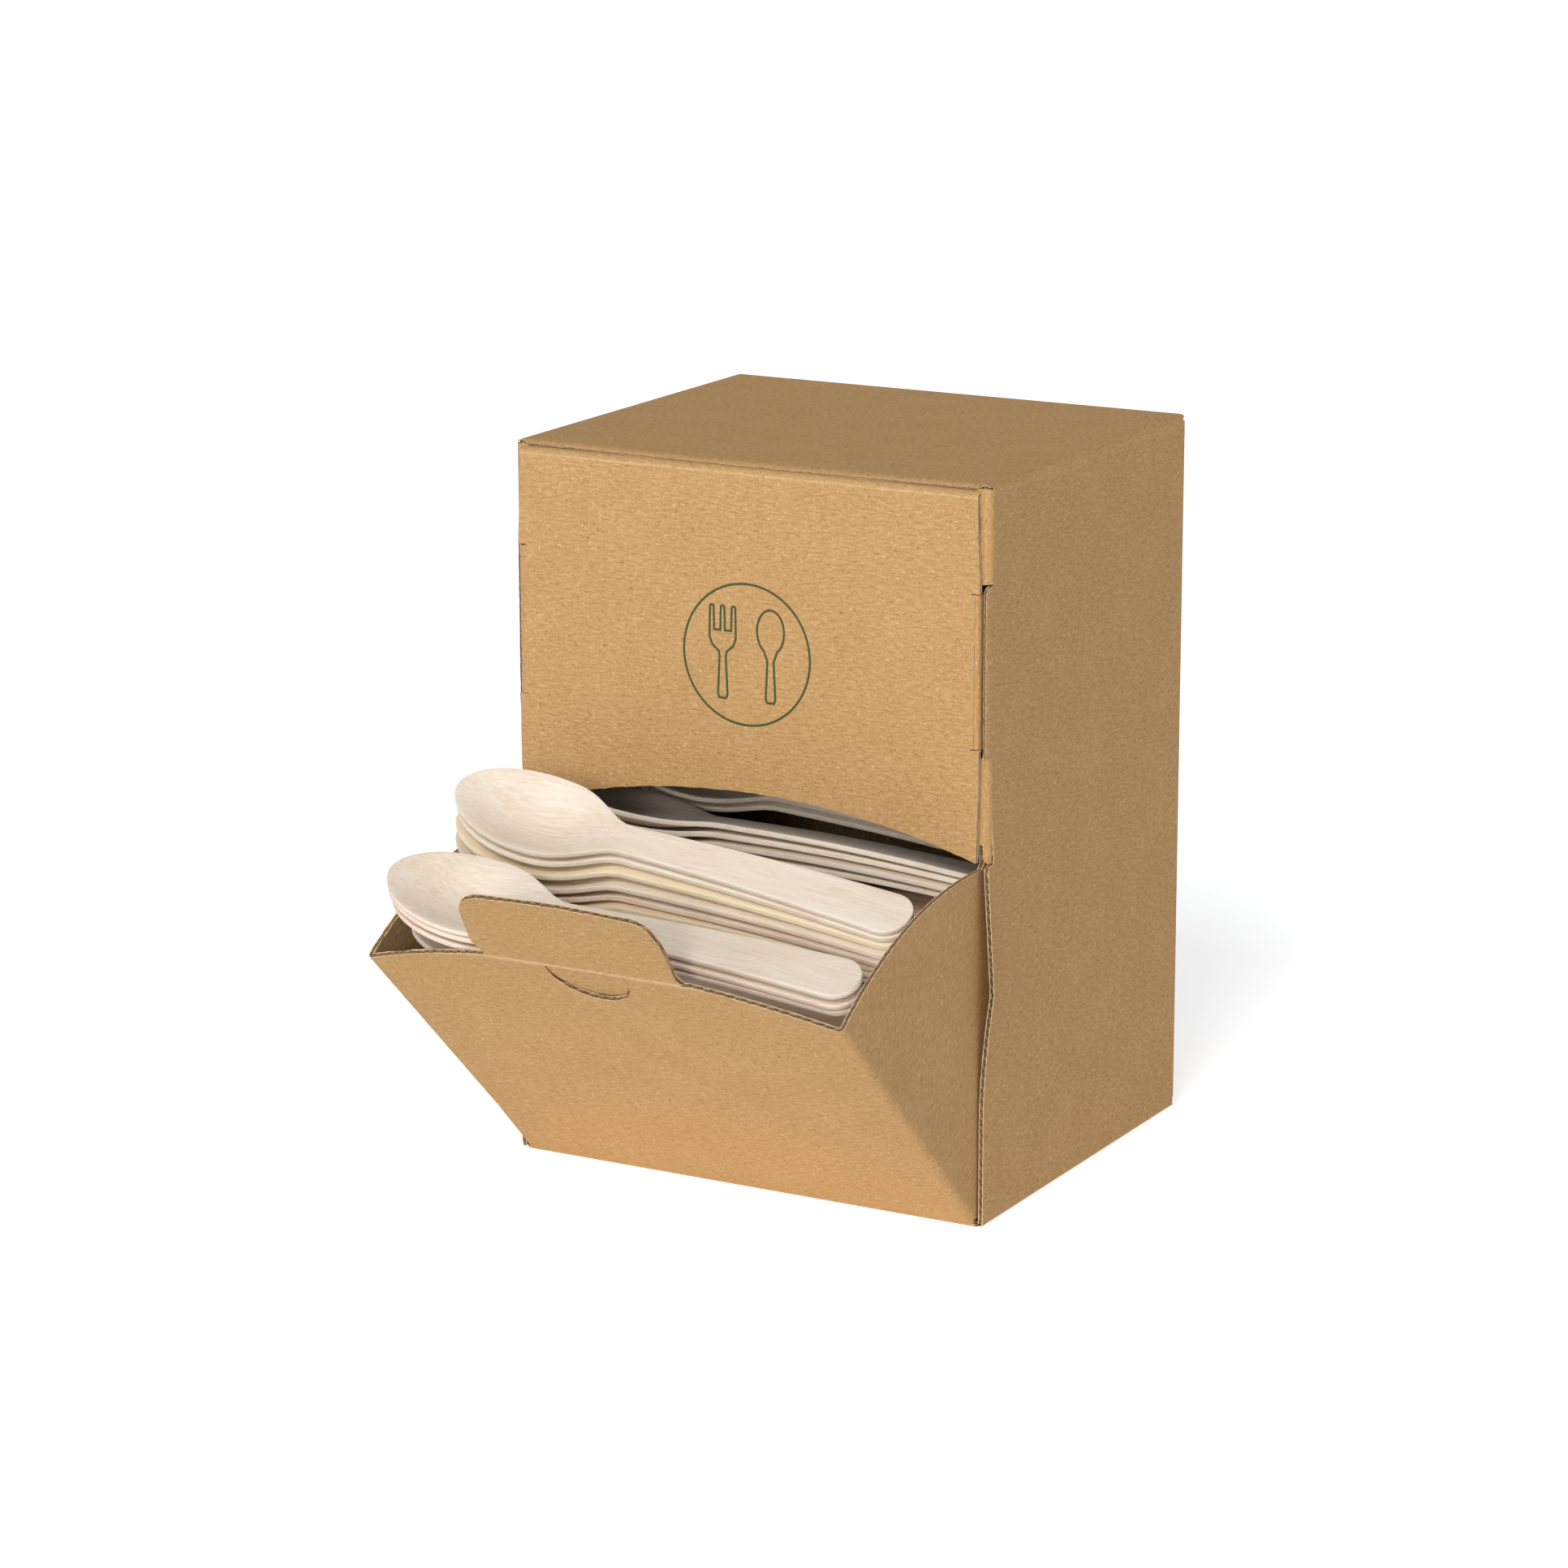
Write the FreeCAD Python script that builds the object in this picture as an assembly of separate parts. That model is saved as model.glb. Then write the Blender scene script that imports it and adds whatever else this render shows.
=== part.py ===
"""Countertop cutlery dispenser: a folded corrugated-board carton whose lower front
tips out as a hopper, filled with pressed birch-veneer spoons.

Millimetres, +Z up, front towards -Y. The origin is the middle of the carton's
bottom face. Every panel of the carton is its own solid and meets its neighbour
at a fold line; every loose spoon is its own solid.
"""
import FreeCAD, Part
import math
import os

from FreeCAD import Placement, Rotation, Vector

# Spoon
spoon_length = 160.0
spoon_thickness = 1.8
bowl_half_width = 17.0
bowl_widest = 28.0       # from the tip
bowl_fullness = 1.4      # 1 tapers evenly to the neck, more keeps the bowl wide for longer
bowl_lift = 5.0          # the tip stands this much above the neck
neck_at = 60.0
neck_half_width = 6.0
handle_half_width = 9.0
handle_round = 8.0
cup_depth = 6.0
cup_centre = 28.0
cup_half_length = 35.0
cup_half_width = 21.5
handle_camber = 1.2
nest_gap = 0.3           # between spoons that lie on each other

# Carton
board = 1.6              # corrugated board thickness
fold_radius = 2.4        # outside radius of a folded edge
slip = 0.3               # clearance between boards that slide or lie on each other
spoon_end_room = 5.0     # from a spoon's end to the carton's outside, left and right
bed_columns = 4          # rows of spoons, front to back
column_room = 1.1        # between two rows
mouth_room = 2.2         # from the carton's front face to the first row
back_room = 4.5          # from the last row to the carton's back face
width = spoon_length + 2 * spoon_end_room
column_pitch = 2 * bowl_half_width + column_room
depth = mouth_room + bed_columns * column_pitch - column_room + back_room
height = 237.0

# Upper front panel and its flaps
front_left_inset = 1.9   # from the carton's left side to the panel's edge
front_right_inset = 2.6
flap_low_edge = 118.0
arch_end_height = flap_low_edge + 0.5   # lower edge of the panel at the sides
arch_rise = 13.0
top_setback = 2.6        # raw front edge of the top panel, behind the front face
tuck_length = 31.0
tuck_side_inset = 4.0
flap_length = 44.0       # dust flaps, from the side wall inwards
flap_relief = 6.0        # the flap's inner part starts this much higher
lock_low = 154.5         # the lock ears sit between this slit and one this much higher
lock_length = 48.8
lock_slit = 3.0          # length of a slit
slit_gap = 0.4
ear_length = 18.0
lock_margin = 2.6        # the side wall's lock edge is longer than the ear

# Rear flaps and glued seam
rear_inset = 2.2
rear_tuck_length = 28.0
glue_flap_width = 38.0
glue_flap_inset = 5.0    # from the front and from the rear tuck flap

# Hopper
hopper_angle = 45.0      # open, from upright
hopper_tip = 122.5       # slope length at the sides
hopper_rise = 18.0       # the middle of the top edge stands this much further out
hopper_side_gap = 0.8    # between a wing and the side wall
splay_start = 20.0       # the wings splay from this far in front of the hinge
left_splay = 4.3         # sideways, at the hopper's tip
right_splay = -1.0
wing_clearance = 2.0     # the wing passes this much under the dust flap
wing_bow = 2.4           # its arc swells by this much half way to the tip
hook_catch = 9.0         # the stop hook reaches this far up behind the dust flap
hook_depth = 11.0
tab_offset = -1.6        # the thumb tab's middle, from the carton's
tab_half_width = 34.7
tab_drop = 3.2           # its fold line, below the top of the arch
tab_height = 36.6
tab_corner = 12.0
tongue_radius = 13.3     # half-moon tongue cut out below the fold line
tongue_depth = 16.0

front_face = -depth / 2
back_face = depth / 2
flap_face = front_face + board + slip
side_wall = width / 2 - board
hinge_y = front_face + board / 2
hinge_z = board / 2
tuck_top = height - board - slip
floor_top = 2 * board + slip
wing_outer = side_wall - hopper_side_gap
wing_inner = wing_outer - board
wing_throat = flap_low_edge - hinge_z - wing_clearance
hook_height = flap_low_edge + hook_catch
lock_high = lock_low + lock_length
tab_score = hopper_tip + hopper_rise - tab_drop

X_AXIS = Vector(1, 0, 0)
Z_AXIS = Vector(0, 0, 1)


# ---------------------------------------------------------------- board shapes

def box(x0, x1, y0, y1, z0, z1):
    return Part.makeBox(x1 - x0, y1 - y0, z1 - z0, Vector(x0, y0, z0))


def polygon(points):
    return Part.Face(Part.makePolygon(points + points[:1]))


def tube(y0, y1):
    """The carton's four-sided tube between two stations, with rounded folds."""
    def along_y(shape):
        return [e for e in shape.Edges if abs(e.tangentAt(e.FirstParameter).y) > 0.99]

    outer = box(-width / 2, width / 2, y0, y1, 0, height)
    inner = box(-side_wall, side_wall, y0, y1, board, height - board)
    outer = outer.makeFillet(fold_radius, along_y(outer))
    inner = inner.makeFillet(fold_radius - board, along_y(inner))
    return outer.cut(inner)


def mitre(side):
    """A prism that cuts one wall from the tube, at 45 degrees through its folds."""
    reach = 4 * fold_radius
    half = width / 2
    corners = {
        "top": [(-half, height), (half, height)],
        "right": [(half, height), (half, 0)],
        "bottom": [(half, 0), (-half, 0)],
        "left": [(-half, 0), (-half, height)],
    }[side]
    ring = []
    for (x, z), shift in ((corners[0], 1), (corners[1], 1), (corners[1], -reach), (corners[0], -reach)):
        outward_x = shift if x > 0 else -shift
        outward_z = shift if z > 0 else -shift
        ring.append(Vector(x + outward_x, -depth, z + outward_z))
    return polygon(ring).extrude(Vector(0, 2 * depth, 0))


def folded_board(corner, leg_a, leg_b, run):
    """Board folded through a right angle: two legs from the sharp outside corner."""
    a = Vector(leg_a).normalize()
    b = Vector(leg_b).normalize()
    centre = corner + (a + b) * fold_radius
    out = (a + b) * (-math.sqrt(0.5))
    inside = fold_radius - board
    stops = [
        (corner + leg_a, corner + leg_a + b * board),
        (corner + leg_a + b * board, centre - b * inside),
        (centre - a * inside, corner + leg_b + a * board),
        (corner + leg_b + a * board, corner + leg_b),
        (corner + leg_b, centre - a * fold_radius),
        (centre - b * fold_radius, corner + leg_a),
    ]
    edges = [Part.makeLine(p, q) for p, q in stops if p.distanceToPoint(q) > 1e-6]
    for radius in (inside, fold_radius):
        edges.append(Part.Arc(centre - b * radius, centre + out * radius, centre - a * radius).toShape())
    wire = Part.Wire(Part.__sortEdges__(edges))
    return Part.Face(wire).extrude(run)


def mirrored(shape):
    return shape.mirror(Vector(0, 0, 0), X_AXIS)


# ------------------------------------------------------------------ the carton

def side_panel():
    """Right wall: folded at the flaps, raw-edged at the hopper and at the lock."""
    wall_start = flap_face + fold_radius
    wall_end = -flap_face - fold_radius
    walls = tube(front_face, wall_end).common(mitre("right"))
    above_lock = box(0, width, front_face, wall_start, lock_high + lock_margin, height)
    below_lock = box(0, width, front_face, wall_start, flap_low_edge, lock_low - lock_margin)
    return walls.cut(above_lock).cut(below_lock)


def top_panel():
    top = tube(front_face + top_setback, back_face - fold_radius).common(mitre("top"))
    half = width / 2 - rear_inset
    fold = folded_board(Vector(-half, back_face, height), Vector(0, -fold_radius, 0),
                        Vector(0, 0, -fold_radius), Vector(2 * half, 0, 0))
    return top.fuse(fold).removeSplitter()


def bottom_panel():
    return tube(flap_face, -flap_face).common(mitre("bottom"))


def back_panel():
    half = width / 2 - rear_inset
    return box(-half, half, back_face - board, back_face, board + slip + fold_radius, height - fold_radius)


def rear_tuck_flap():
    """Bottom fold of the back panel and the flap that tucks in over the floor."""
    half = width / 2 - rear_inset
    strip = folded_board(Vector(-half, back_face, board + slip), Vector(0, -rear_tuck_length, 0),
                         Vector(0, 0, fold_radius), Vector(2 * half, 0, 0))
    keep = box(-side_wall + slip, side_wall - slip, 0, depth, 0, height)
    return strip.common(keep)


def rear_dust_flap():
    corner = Vector(width / 2, -flap_face, board + fold_radius)
    run = Vector(0, 0, height - 2 * (board + fold_radius))
    flap = folded_board(corner, Vector(-flap_length, 0, 0), Vector(0, -fold_radius, 0), run)
    return flap


def front_dust_flap():
    """Right flap behind the upper front panel; its low inner edge clears the wing."""
    corner = Vector(width / 2, flap_face, flap_low_edge)
    run = Vector(0, 0, tuck_top - flap_low_edge)
    flap = folded_board(corner, Vector(-flap_length, 0, 0), Vector(0, fold_radius, 0), run)
    inner_x = width / 2 - flap_length
    fold_x = side_wall - slip
    reach = flap_face + fold_radius
    relief = polygon([Vector(fold_x, front_face, flap_low_edge),
                      Vector(fold_x, front_face, flap_low_edge + flap_relief),
                      Vector(inner_x, front_face, flap_low_edge + flap_relief + fold_radius),
                      Vector(inner_x, front_face, flap_low_edge)])
    lock_window = box(wing_inner - slip, width / 2, front_face, reach,
                      lock_low - lock_margin - slip, lock_high + lock_margin + slip)
    tuck_edge = width / 2 - front_left_inset + slip
    under_tuck = box(0, tuck_edge, front_face, reach, tuck_top - board - slip, height)
    return flap.cut(relief.extrude(Vector(0, depth, 0))).cut(lock_window).cut(under_tuck)


def upper_front_panel():
    """Front above the mouth, with its arched lower edge and the slits of its ears."""
    crown = arch_end_height + arch_rise
    left = -width / 2 + front_left_inset
    right = width / 2 - front_right_inset
    top = tuck_top - fold_radius
    edges = [
        Part.Arc(Vector(left, front_face, arch_end_height), Vector(0, front_face, crown),
                 Vector(right, front_face, arch_end_height)).toShape(),
        Part.makeLine(Vector(right, front_face, arch_end_height), Vector(right, front_face, top)),
        Part.makeLine(Vector(right, front_face, top), Vector(left, front_face, top)),
        Part.makeLine(Vector(left, front_face, top), Vector(left, front_face, arch_end_height)),
    ]
    panel = Part.Face(Part.Wire(edges)).extrude(Vector(0, board, 0))
    for level in (lock_low, lock_high):
        for edge, inwards in ((left, lock_slit), (right, -lock_slit)):
            x0, x1 = sorted((edge, edge + inwards))
            panel = panel.cut(box(x0, x1, front_face, front_face + board,
                                  level - slit_gap / 2, level + slit_gap / 2))
    return panel


def front_tuck_flap():
    left = -width / 2 + front_left_inset
    right = width / 2 - front_right_inset
    strip = folded_board(Vector(left, front_face, tuck_top), Vector(0, tuck_length, 0),
                         Vector(0, 0, -fold_radius), Vector(right - left, 0, 0))
    blade_half = side_wall - tuck_side_inset
    trims = [box(-width, -blade_half, front_face + fold_radius + slip, 0, 0, height),
             box(blade_half, width, front_face + fold_radius + slip, 0, 0, height)]
    return strip.cut(trims[0]).cut(trims[1])


def lock_ear(edge_x, inwards):
    """Ear folded in from the upper front panel's side edge."""
    x0, x1 = sorted((edge_x, edge_x + inwards * board))
    ear = box(x0, x1, front_face + board, front_face + board + ear_length,
              lock_low + slit_gap / 2, lock_high - slit_gap / 2)
    far = front_face + board + ear_length
    corners = [e for e in ear.Edges
               if abs(e.CenterOfMass.y - far) < 0.01 and abs(e.tangentAt(0).x) > 0.99]
    return ear.makeFillet(ear_length / 3, corners)


def glue_flap():
    """Seam flap of the left wall, glued to the inside of the bottom panel."""
    rear = back_face - rear_tuck_length - glue_flap_inset
    return box(-side_wall + fold_radius - board, -side_wall + glue_flap_width,
               front_face + glue_flap_inset, rear, board, 2 * board)


# ------------------------------------------------------------------ the hopper

def open_hopper(shape):
    """Turn a shape modelled upright, as when closed, out to the open angle."""
    turned = shape.copy()
    turned.rotate(Vector(0, hinge_y, hinge_z), X_AXIS, hopper_angle)
    return turned


def hopper_outline():
    half = wing_outer
    y = front_face
    bend = hinge_z + splay_start / math.sin(math.radians(hopper_angle))
    tip = hinge_z + hopper_tip
    left = -half - left_splay
    right = half + right_splay
    return Part.Face(Part.Wire([
        Part.makeLine(Vector(-half, y, hinge_z), Vector(half, y, hinge_z)),
        Part.makeLine(Vector(half, y, hinge_z), Vector(half, y, bend)),
        Part.makeLine(Vector(half, y, bend), Vector(right, y, tip)),
        Part.Arc(Vector(right, y, tip), Vector(0, y, tip + hopper_rise),
                 Vector(left, y, tip)).toShape(),
        Part.makeLine(Vector(left, y, tip), Vector(-half, y, bend)),
        Part.makeLine(Vector(-half, y, bend), Vector(-half, y, hinge_z)),
    ]))


def tongue(clearance):
    """Half-moon below the thumb tab's fold line, as a cutter or as the tongue."""
    y = front_face
    reach = tongue_radius + clearance
    z = hinge_z + tab_score
    low = z - tongue_depth - clearance
    face = Part.Face(Part.Wire([
        Part.makeLine(Vector(tab_offset + reach, y, z), Vector(tab_offset - reach, y, z)),
        Part.Arc(Vector(tab_offset - reach, y, z), Vector(tab_offset, y, low),
                 Vector(tab_offset + reach, y, z)).toShape(),
    ]))
    return face.extrude(Vector(0, board, 0))


def knuckle(x0, x1, slope):
    """Half-round board edge about a fold line at this slope length."""
    return Part.makeCylinder(board / 2, x1 - x0, Vector(x0, hinge_y, hinge_z + slope), X_AXIS)


def hopper_front_panel():
    panel = hopper_outline().extrude(Vector(0, board, 0))
    panel = panel.fuse(knuckle(-wing_outer, wing_outer, 0))
    gap = slip + board / 2
    tab_bay = box(tab_offset - tab_half_width - slip, tab_offset + tab_half_width + slip,
                  front_face, front_face + board, hinge_z + tab_score - gap, height)
    return open_hopper(panel.cut(tab_bay).cut(tongue(slip)).removeSplitter())


def thumb_tab():
    left = tab_offset - tab_half_width
    right = tab_offset + tab_half_width
    base = hinge_z + tab_score
    blade = box(left, right, front_face, front_face + board, base, base + tab_height)
    corners = [e for e in blade.Edges
               if abs(e.CenterOfMass.z - base - tab_height) < 0.01 and abs(e.tangentAt(0).y) > 0.99]
    blade = blade.makeFillet(tab_corner, corners)
    return open_hopper(blade.fuse([knuckle(left, right, tab_score), tongue(0)]).removeSplitter())


def splayed_slab(splay):
    """The space between the right wing's two faces, bent sideways by the splay."""
    bend = hinge_y - splay_start
    far = hinge_y - 2 * hopper_tip
    shift = splay * (bend - far) / (hopper_tip * math.sin(math.radians(hopper_angle)) - splay_start)
    face = polygon([Vector(x, y, 0) for x, y in (
        (wing_inner, back_face), (wing_inner, bend), (wing_inner + shift, far),
        (wing_outer + shift, far), (wing_outer, bend), (wing_outer, back_face))])
    return face.extrude(Vector(0, 0, height))


def hopper_wing(splay):
    """Right gusset: an arc that slides inside the side wall, ending in a stop hook
    that bears on the back of the dust flap."""
    angle = math.radians(hopper_angle)
    inward = Vector(0, math.cos(angle), math.sin(angle))
    slope = Vector(0, -math.sin(angle), math.cos(angle))
    spread = abs(splay) + board
    x = wing_inner - spread
    hinge = Vector(x, hinge_y, hinge_z)
    root = hinge + slope * (2 * board) + inward * (board / 2)
    tip = hinge + slope * hopper_tip + inward * (board / 2)
    middle = Rotation(X_AXIS, hopper_angle / 2).multVec(Vector(0, 0, wing_throat + wing_bow)) + hinge
    hook_front = flap_face + board + slip
    throat = Vector(x, flap_face, hinge_z + wing_throat)
    heel = Vector(x, hook_front, throat.z + board)
    crest = Vector(x, hook_front, hook_height - board)
    bulge = board * (1 - math.sqrt(0.5))
    crest_mid = Vector(x, hook_front + bulge, hook_height - bulge)
    crest_top = Vector(x, hook_front + board, hook_height)
    tail = Vector(x, hook_front + hook_depth, hook_height - hook_depth / 2)
    back = Vector(x, hook_front + hook_depth / 3, 3 * board)
    wire = Part.Wire([
        Part.makeLine(root, tip),
        Part.Arc(tip, middle, throat).toShape(),
        Part.makeLine(throat, heel),
        Part.makeLine(heel, crest),
        Part.Arc(crest, crest_mid, crest_top).toShape(),
        Part.makeLine(crest_top, tail),
        Part.makeLine(tail, back),
        Part.makeLine(back, root),
    ])
    return Part.Face(wire).extrude(Vector(2 * spread + board, 0, 0)).common(splayed_slab(splay))


# ------------------------------------------------------------------ the spoons

def half_width(s):
    """Half the spoon's width at a distance s from the bowl's tip."""
    if s < bowl_widest:
        return bowl_half_width * math.sqrt(max(0.0, 1 - ((bowl_widest - s) / bowl_widest) ** 2))
    if s < neck_at:
        turn = ((s - bowl_widest) / (neck_at - bowl_widest)) ** bowl_fullness
        ease = 0.5 + 0.5 * math.cos(math.pi * turn)
        return neck_half_width + (bowl_half_width - neck_half_width) * ease
    share = (s - neck_at) / (spoon_length - neck_at)
    half = neck_half_width + (handle_half_width - neck_half_width) * share
    over = s - (spoon_length - handle_round)
    if over > 0:
        half *= math.sqrt(max(0.0, 1 - (over / handle_round) ** 2))
    return half


def under_side(s, y):
    """Height of the spoon's under side: a pressed cup, a raised tip and an arched handle."""
    reach = ((s - cup_centre) / cup_half_length) ** 2 + (y / cup_half_width) ** 2
    cup = cup_depth * (1 - reach) ** 2 if reach < 1 else 0.0
    share = max(0.0, (s - neck_at) / (spoon_length - neck_at))
    lift = bowl_lift * max(0.0, (neck_at - s) / neck_at) ** 2
    return handle_camber * math.sin(math.pi * share) - cup + lift


def make_spoon():
    """The spoon with its tip at -X and its middle at the origin."""
    middle = spoon_length / 2
    stations = [0.04, 0.15, 0.4, 0.7, 1.0, 1.3, 1.55, 1.75, 1.9, 2.03]
    bowl = [(bowl_widest * k - middle, half_width(bowl_widest * k)) for k in stations]
    neck = (neck_at - middle, neck_half_width)
    grip = (middle - handle_round, half_width(spoon_length - handle_round))
    edges = []
    for flip in (1, -1):
        points = [Vector(x, flip * y, 0) for x, y in [(-middle, 0)] + bowl + [neck]]
        taper = Vector(grip[0] - neck[0], flip * (grip[1] - neck[1]), 0)
        curve = Part.BSplineCurve()
        curve.interpolate(Points=points, InitialTangent=Vector(0, flip, 0),
                          FinalTangent=taper.normalize())
        edges.append(curve.toShape())
        edges.append(Part.makeLine(points[-1], Vector(grip[0], flip * grip[1], 0)))
    edges.append(Part.Arc(Vector(grip[0], grip[1], 0), Vector(middle, 0, 0),
                          Vector(grip[0], -grip[1], 0)).toShape())
    tall = 3 * cup_depth
    outline = Part.Face(Part.Wire(Part.__sortEdges__(edges)))
    prism = outline.extrude(Vector(0, 0, tall))
    prism.translate(Vector(0, 0, -tall / 2))

    margin = spoon_thickness
    columns, rows = 22, 9
    grid = []
    for i in range(columns):
        s = -margin + (spoon_length + 2 * margin) * i / (columns - 1)
        line = []
        for j in range(rows):
            y = (bowl_half_width + margin) * (2 * j / (rows - 1) - 1)
            line.append(Vector(s - middle, y, under_side(s, y)))
        grid.append(line)
    surface = Part.BSplineSurface()
    surface.interpolate(grid)
    slab = surface.toShape().extrude(Vector(0, 0, spoon_thickness))
    return slab.common(prism)


def sample_points():
    points = []
    steps = 100
    for i in range(steps + 1):
        s = spoon_length * i / steps
        half = half_width(s)
        for share in (-1, -0.66, -0.33, 0, 0.33, 0.66, 1):
            points.append((s - spoon_length / 2, share * half))
    return points


SAMPLES = sample_points()


def clearance(upper, lower):
    """Least vertical gap between two placed spoons, or None where none overlap."""
    least = None
    for mover, base, side, sign in ((upper, lower, 0, 1), (lower, upper, spoon_thickness, -1)):
        to_base = base.inverse() * mover
        up = base.inverse().Rotation.multVec(Z_AXIS)
        face = spoon_thickness - side
        for x, y in SAMPLES:
            p = to_base.multVec(Vector(x, y, under_side(x + spoon_length / 2, y) + side))
            rise = 0.0
            for _ in range(3):
                q = p - up * rise
                s = q.x + spoon_length / 2
                rise += (q.z - under_side(s, q.y) - face) / up.z
            if 0 <= s <= spoon_length and abs(q.y) <= half_width(s):
                gap = sign * rise
                least = gap if least is None else min(least, gap)
    return least


def settle(x, y, yaw, pitch, roll, below, ground):
    """Drop a spoon straight down until it lies on the spoons below or on the ground."""
    turn = Rotation(Z_AXIS, yaw) * Rotation(Vector(0, 1, 0), pitch) * Rotation(X_AXIS, roll)
    start = 3 * height
    place = Placement(Vector(x, y, start), turn)
    drop = None
    for sx, sy in SAMPLES:
        p = place.multVec(Vector(sx, sy, under_side(sx + spoon_length / 2, sy)))
        gap = p.z - ground(p.y)
        drop = gap if drop is None else min(drop, gap)
    for other in below:
        gap = clearance(place, other)
        if gap is not None:
            drop = min(drop, gap - nest_gap)
    return Placement(Vector(x, y, start - drop), turn)


def on_slope(y):
    """Height of the hopper's inner face, with the slip clearance, over the point y."""
    tangent = math.tan(math.radians(hopper_angle))
    lift = (board / 2 + slip) / math.sin(math.radians(hopper_angle))
    return hinge_z + (hinge_y - y) / tangent + lift


def on_floor(_y):
    return floor_top + slip


def front(distance):
    """The y of a point this far out in front of the carton's front face."""
    return front_face - distance


# Each heap is a list of layers, from the lowest up:
# (node name, x, distance in front of the carton, yaw, pitch, roll).
# Bowls point left; a yaw of 180 turns a spoon end for end.

def hidden_column(name, count, start, step=0.0):
    """Buried spoons, laid end for end so that bowls rest on handles."""
    layers = []
    for i in range(count):
        turn = 180 if i % 2 else 0
        layers.append((name, 0.0, start + step * i, turn + 0.4 * (-1) ** (i // 2), 0.0, 0.0))
    return layers


HOPPER_HEAP = (
    hidden_column("hopper_spoons_low", 3, 26.5, 9.0)
    + hidden_column("hopper_spoons_mid", 1, 29.0)
    + [
        ("front_spoon_e", 0.3, 57.0, 3.0, 3.0, 2.0),
        ("front_spoon_d", 0.3, 64.5, 3.2, 4.0, 8.0),
        ("middle_spoon_h", 0.3, 40.5, 0.5, 3.0, 5.0),
        ("middle_spoon_g", -0.4, 40.0, -0.5, 3.4, 7.0),
        ("middle_spoon_f", 0.4, 41.0, 0.5, 3.8, 10.0),
        ("middle_spoon_e", 0.1, 40.0, -1.0, 4.4, 13.0),
        ("middle_spoon_d", 0.3, 41.0, 0.5, 5.0, 17.0),
        ("middle_spoon_c", 0.5, 40.5, 1.0, 6.0, 21.0),
        ("middle_spoon_b", 0.3, 40.0, 0.5, 7.0, 25.0),
        ("middle_spoon_top", 0.5, 41.0, 1.0, 7.6, 26.5),
        ("front_spoon_c", 0.3, 74.5, 3.4, 4.8, 18.0),
        ("front_spoon_b", 0.1, 76.0, 3.6, 5.6, 22.0),
        ("front_spoon_top", 0.4, 77.0, 3.4, 5.0, 24.5),
    ]
)

FIRST_ROW = -mouth_room - bowl_half_width

CARTON_HEAP = (
    hidden_column("bed_column_front", 12, FIRST_ROW)
    + hidden_column("bed_column_middle", 12, FIRST_ROW - column_pitch)
    + hidden_column("bed_column_rear", 8, FIRST_ROW - 2 * column_pitch)
    + hidden_column("bed_column_back", 6, FIRST_ROW - 3 * column_pitch)
    + [
        ("back_spoon_d", 0.0, FIRST_ROW - 0.2, 0.0, 1.6, 0.0),
        ("back_spoon_c", 0.5, FIRST_ROW + 0.6, -0.8, 2.2, -2.0),
        ("back_spoon_b", -0.4, FIRST_ROW - 0.2, 0.4, 2.6, -4.0),
        ("back_spoon_top", 0.3, FIRST_ROW + 0.2, -0.5, 3.0, -6.0),
        ("loose_spoon_b", 1.5, -58.0, 3.0, 6.0, 13.0),
        ("loose_spoon_c", 2.5, -58.0, 4.0, 6.5, 16.0),
        ("loose_spoon_a", -0.1, -91.0, -5.0, 2.0, 0.0),
    ]
)


def build_heap(layers, spoon, ground):
    """Settle a heap layer by layer and gather its solids by node."""
    placed = []
    nodes = {}
    for name, x, distance, yaw, pitch, roll in layers:
        place = settle(x, front(distance), yaw, pitch, roll, placed, ground)
        placed.append(place)
        solid = spoon.copy()
        solid.Placement = place
        nodes.setdefault(name, []).append(solid)
        end = place.multVec(Vector(spoon_length / 2, 0, spoon_thickness))
        tip = place.multVec(Vector(-spoon_length / 2, 0, spoon_thickness))
        print("%-20s tip z %.1f  end z %.1f" % (name, tip.z, end.z))
    return nodes


# -------------------------------------------------------------------- assembly

def main():
    right_edge = width / 2 - front_right_inset
    left_edge = -width / 2 + front_left_inset
    nodes = {
        "right_side_panel": side_panel(),
        "left_side_panel": mirrored(side_panel()),
        "top_panel": top_panel(),
        "bottom_panel": bottom_panel(),
        "back_panel": back_panel(),
        "rear_tuck_flap": rear_tuck_flap(),
        "rear_dust_flap_right": rear_dust_flap(),
        "rear_dust_flap_left": mirrored(rear_dust_flap()),
        "glue_flap": glue_flap(),
        "front_dust_flap_right": front_dust_flap(),
        "front_dust_flap_left": mirrored(front_dust_flap()),
        "upper_front_panel": upper_front_panel(),
        "front_tuck_flap": front_tuck_flap(),
        "lock_ear_right": lock_ear(right_edge, -1),
        "lock_ear_left": lock_ear(left_edge, 1),
        "hopper_front_panel": hopper_front_panel(),
        "hopper_wing_right": hopper_wing(right_splay),
        "hopper_wing_left": mirrored(hopper_wing(left_splay)),
        "thumb_tab": thumb_tab(),
    }
    spoon = make_spoon()
    for heap, ground in ((HOPPER_HEAP, on_slope), (CARTON_HEAP, on_floor)):
        for name, solids in build_heap(heap, spoon, ground).items():
            nodes[name] = solids[0] if len(solids) == 1 else Part.makeCompound(solids)

    os.makedirs("parts", exist_ok=True)
    for name, shape in nodes.items():
        shape.exportStep("parts/%s.step" % name)
    print(len(nodes), "nodes,", sum(len(s.Solids) for s in nodes.values()), "solids")


main()
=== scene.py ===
import itertools
import math

import bmesh
import bpy
import numpy as np
from mathutils import Matrix, Vector


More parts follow.
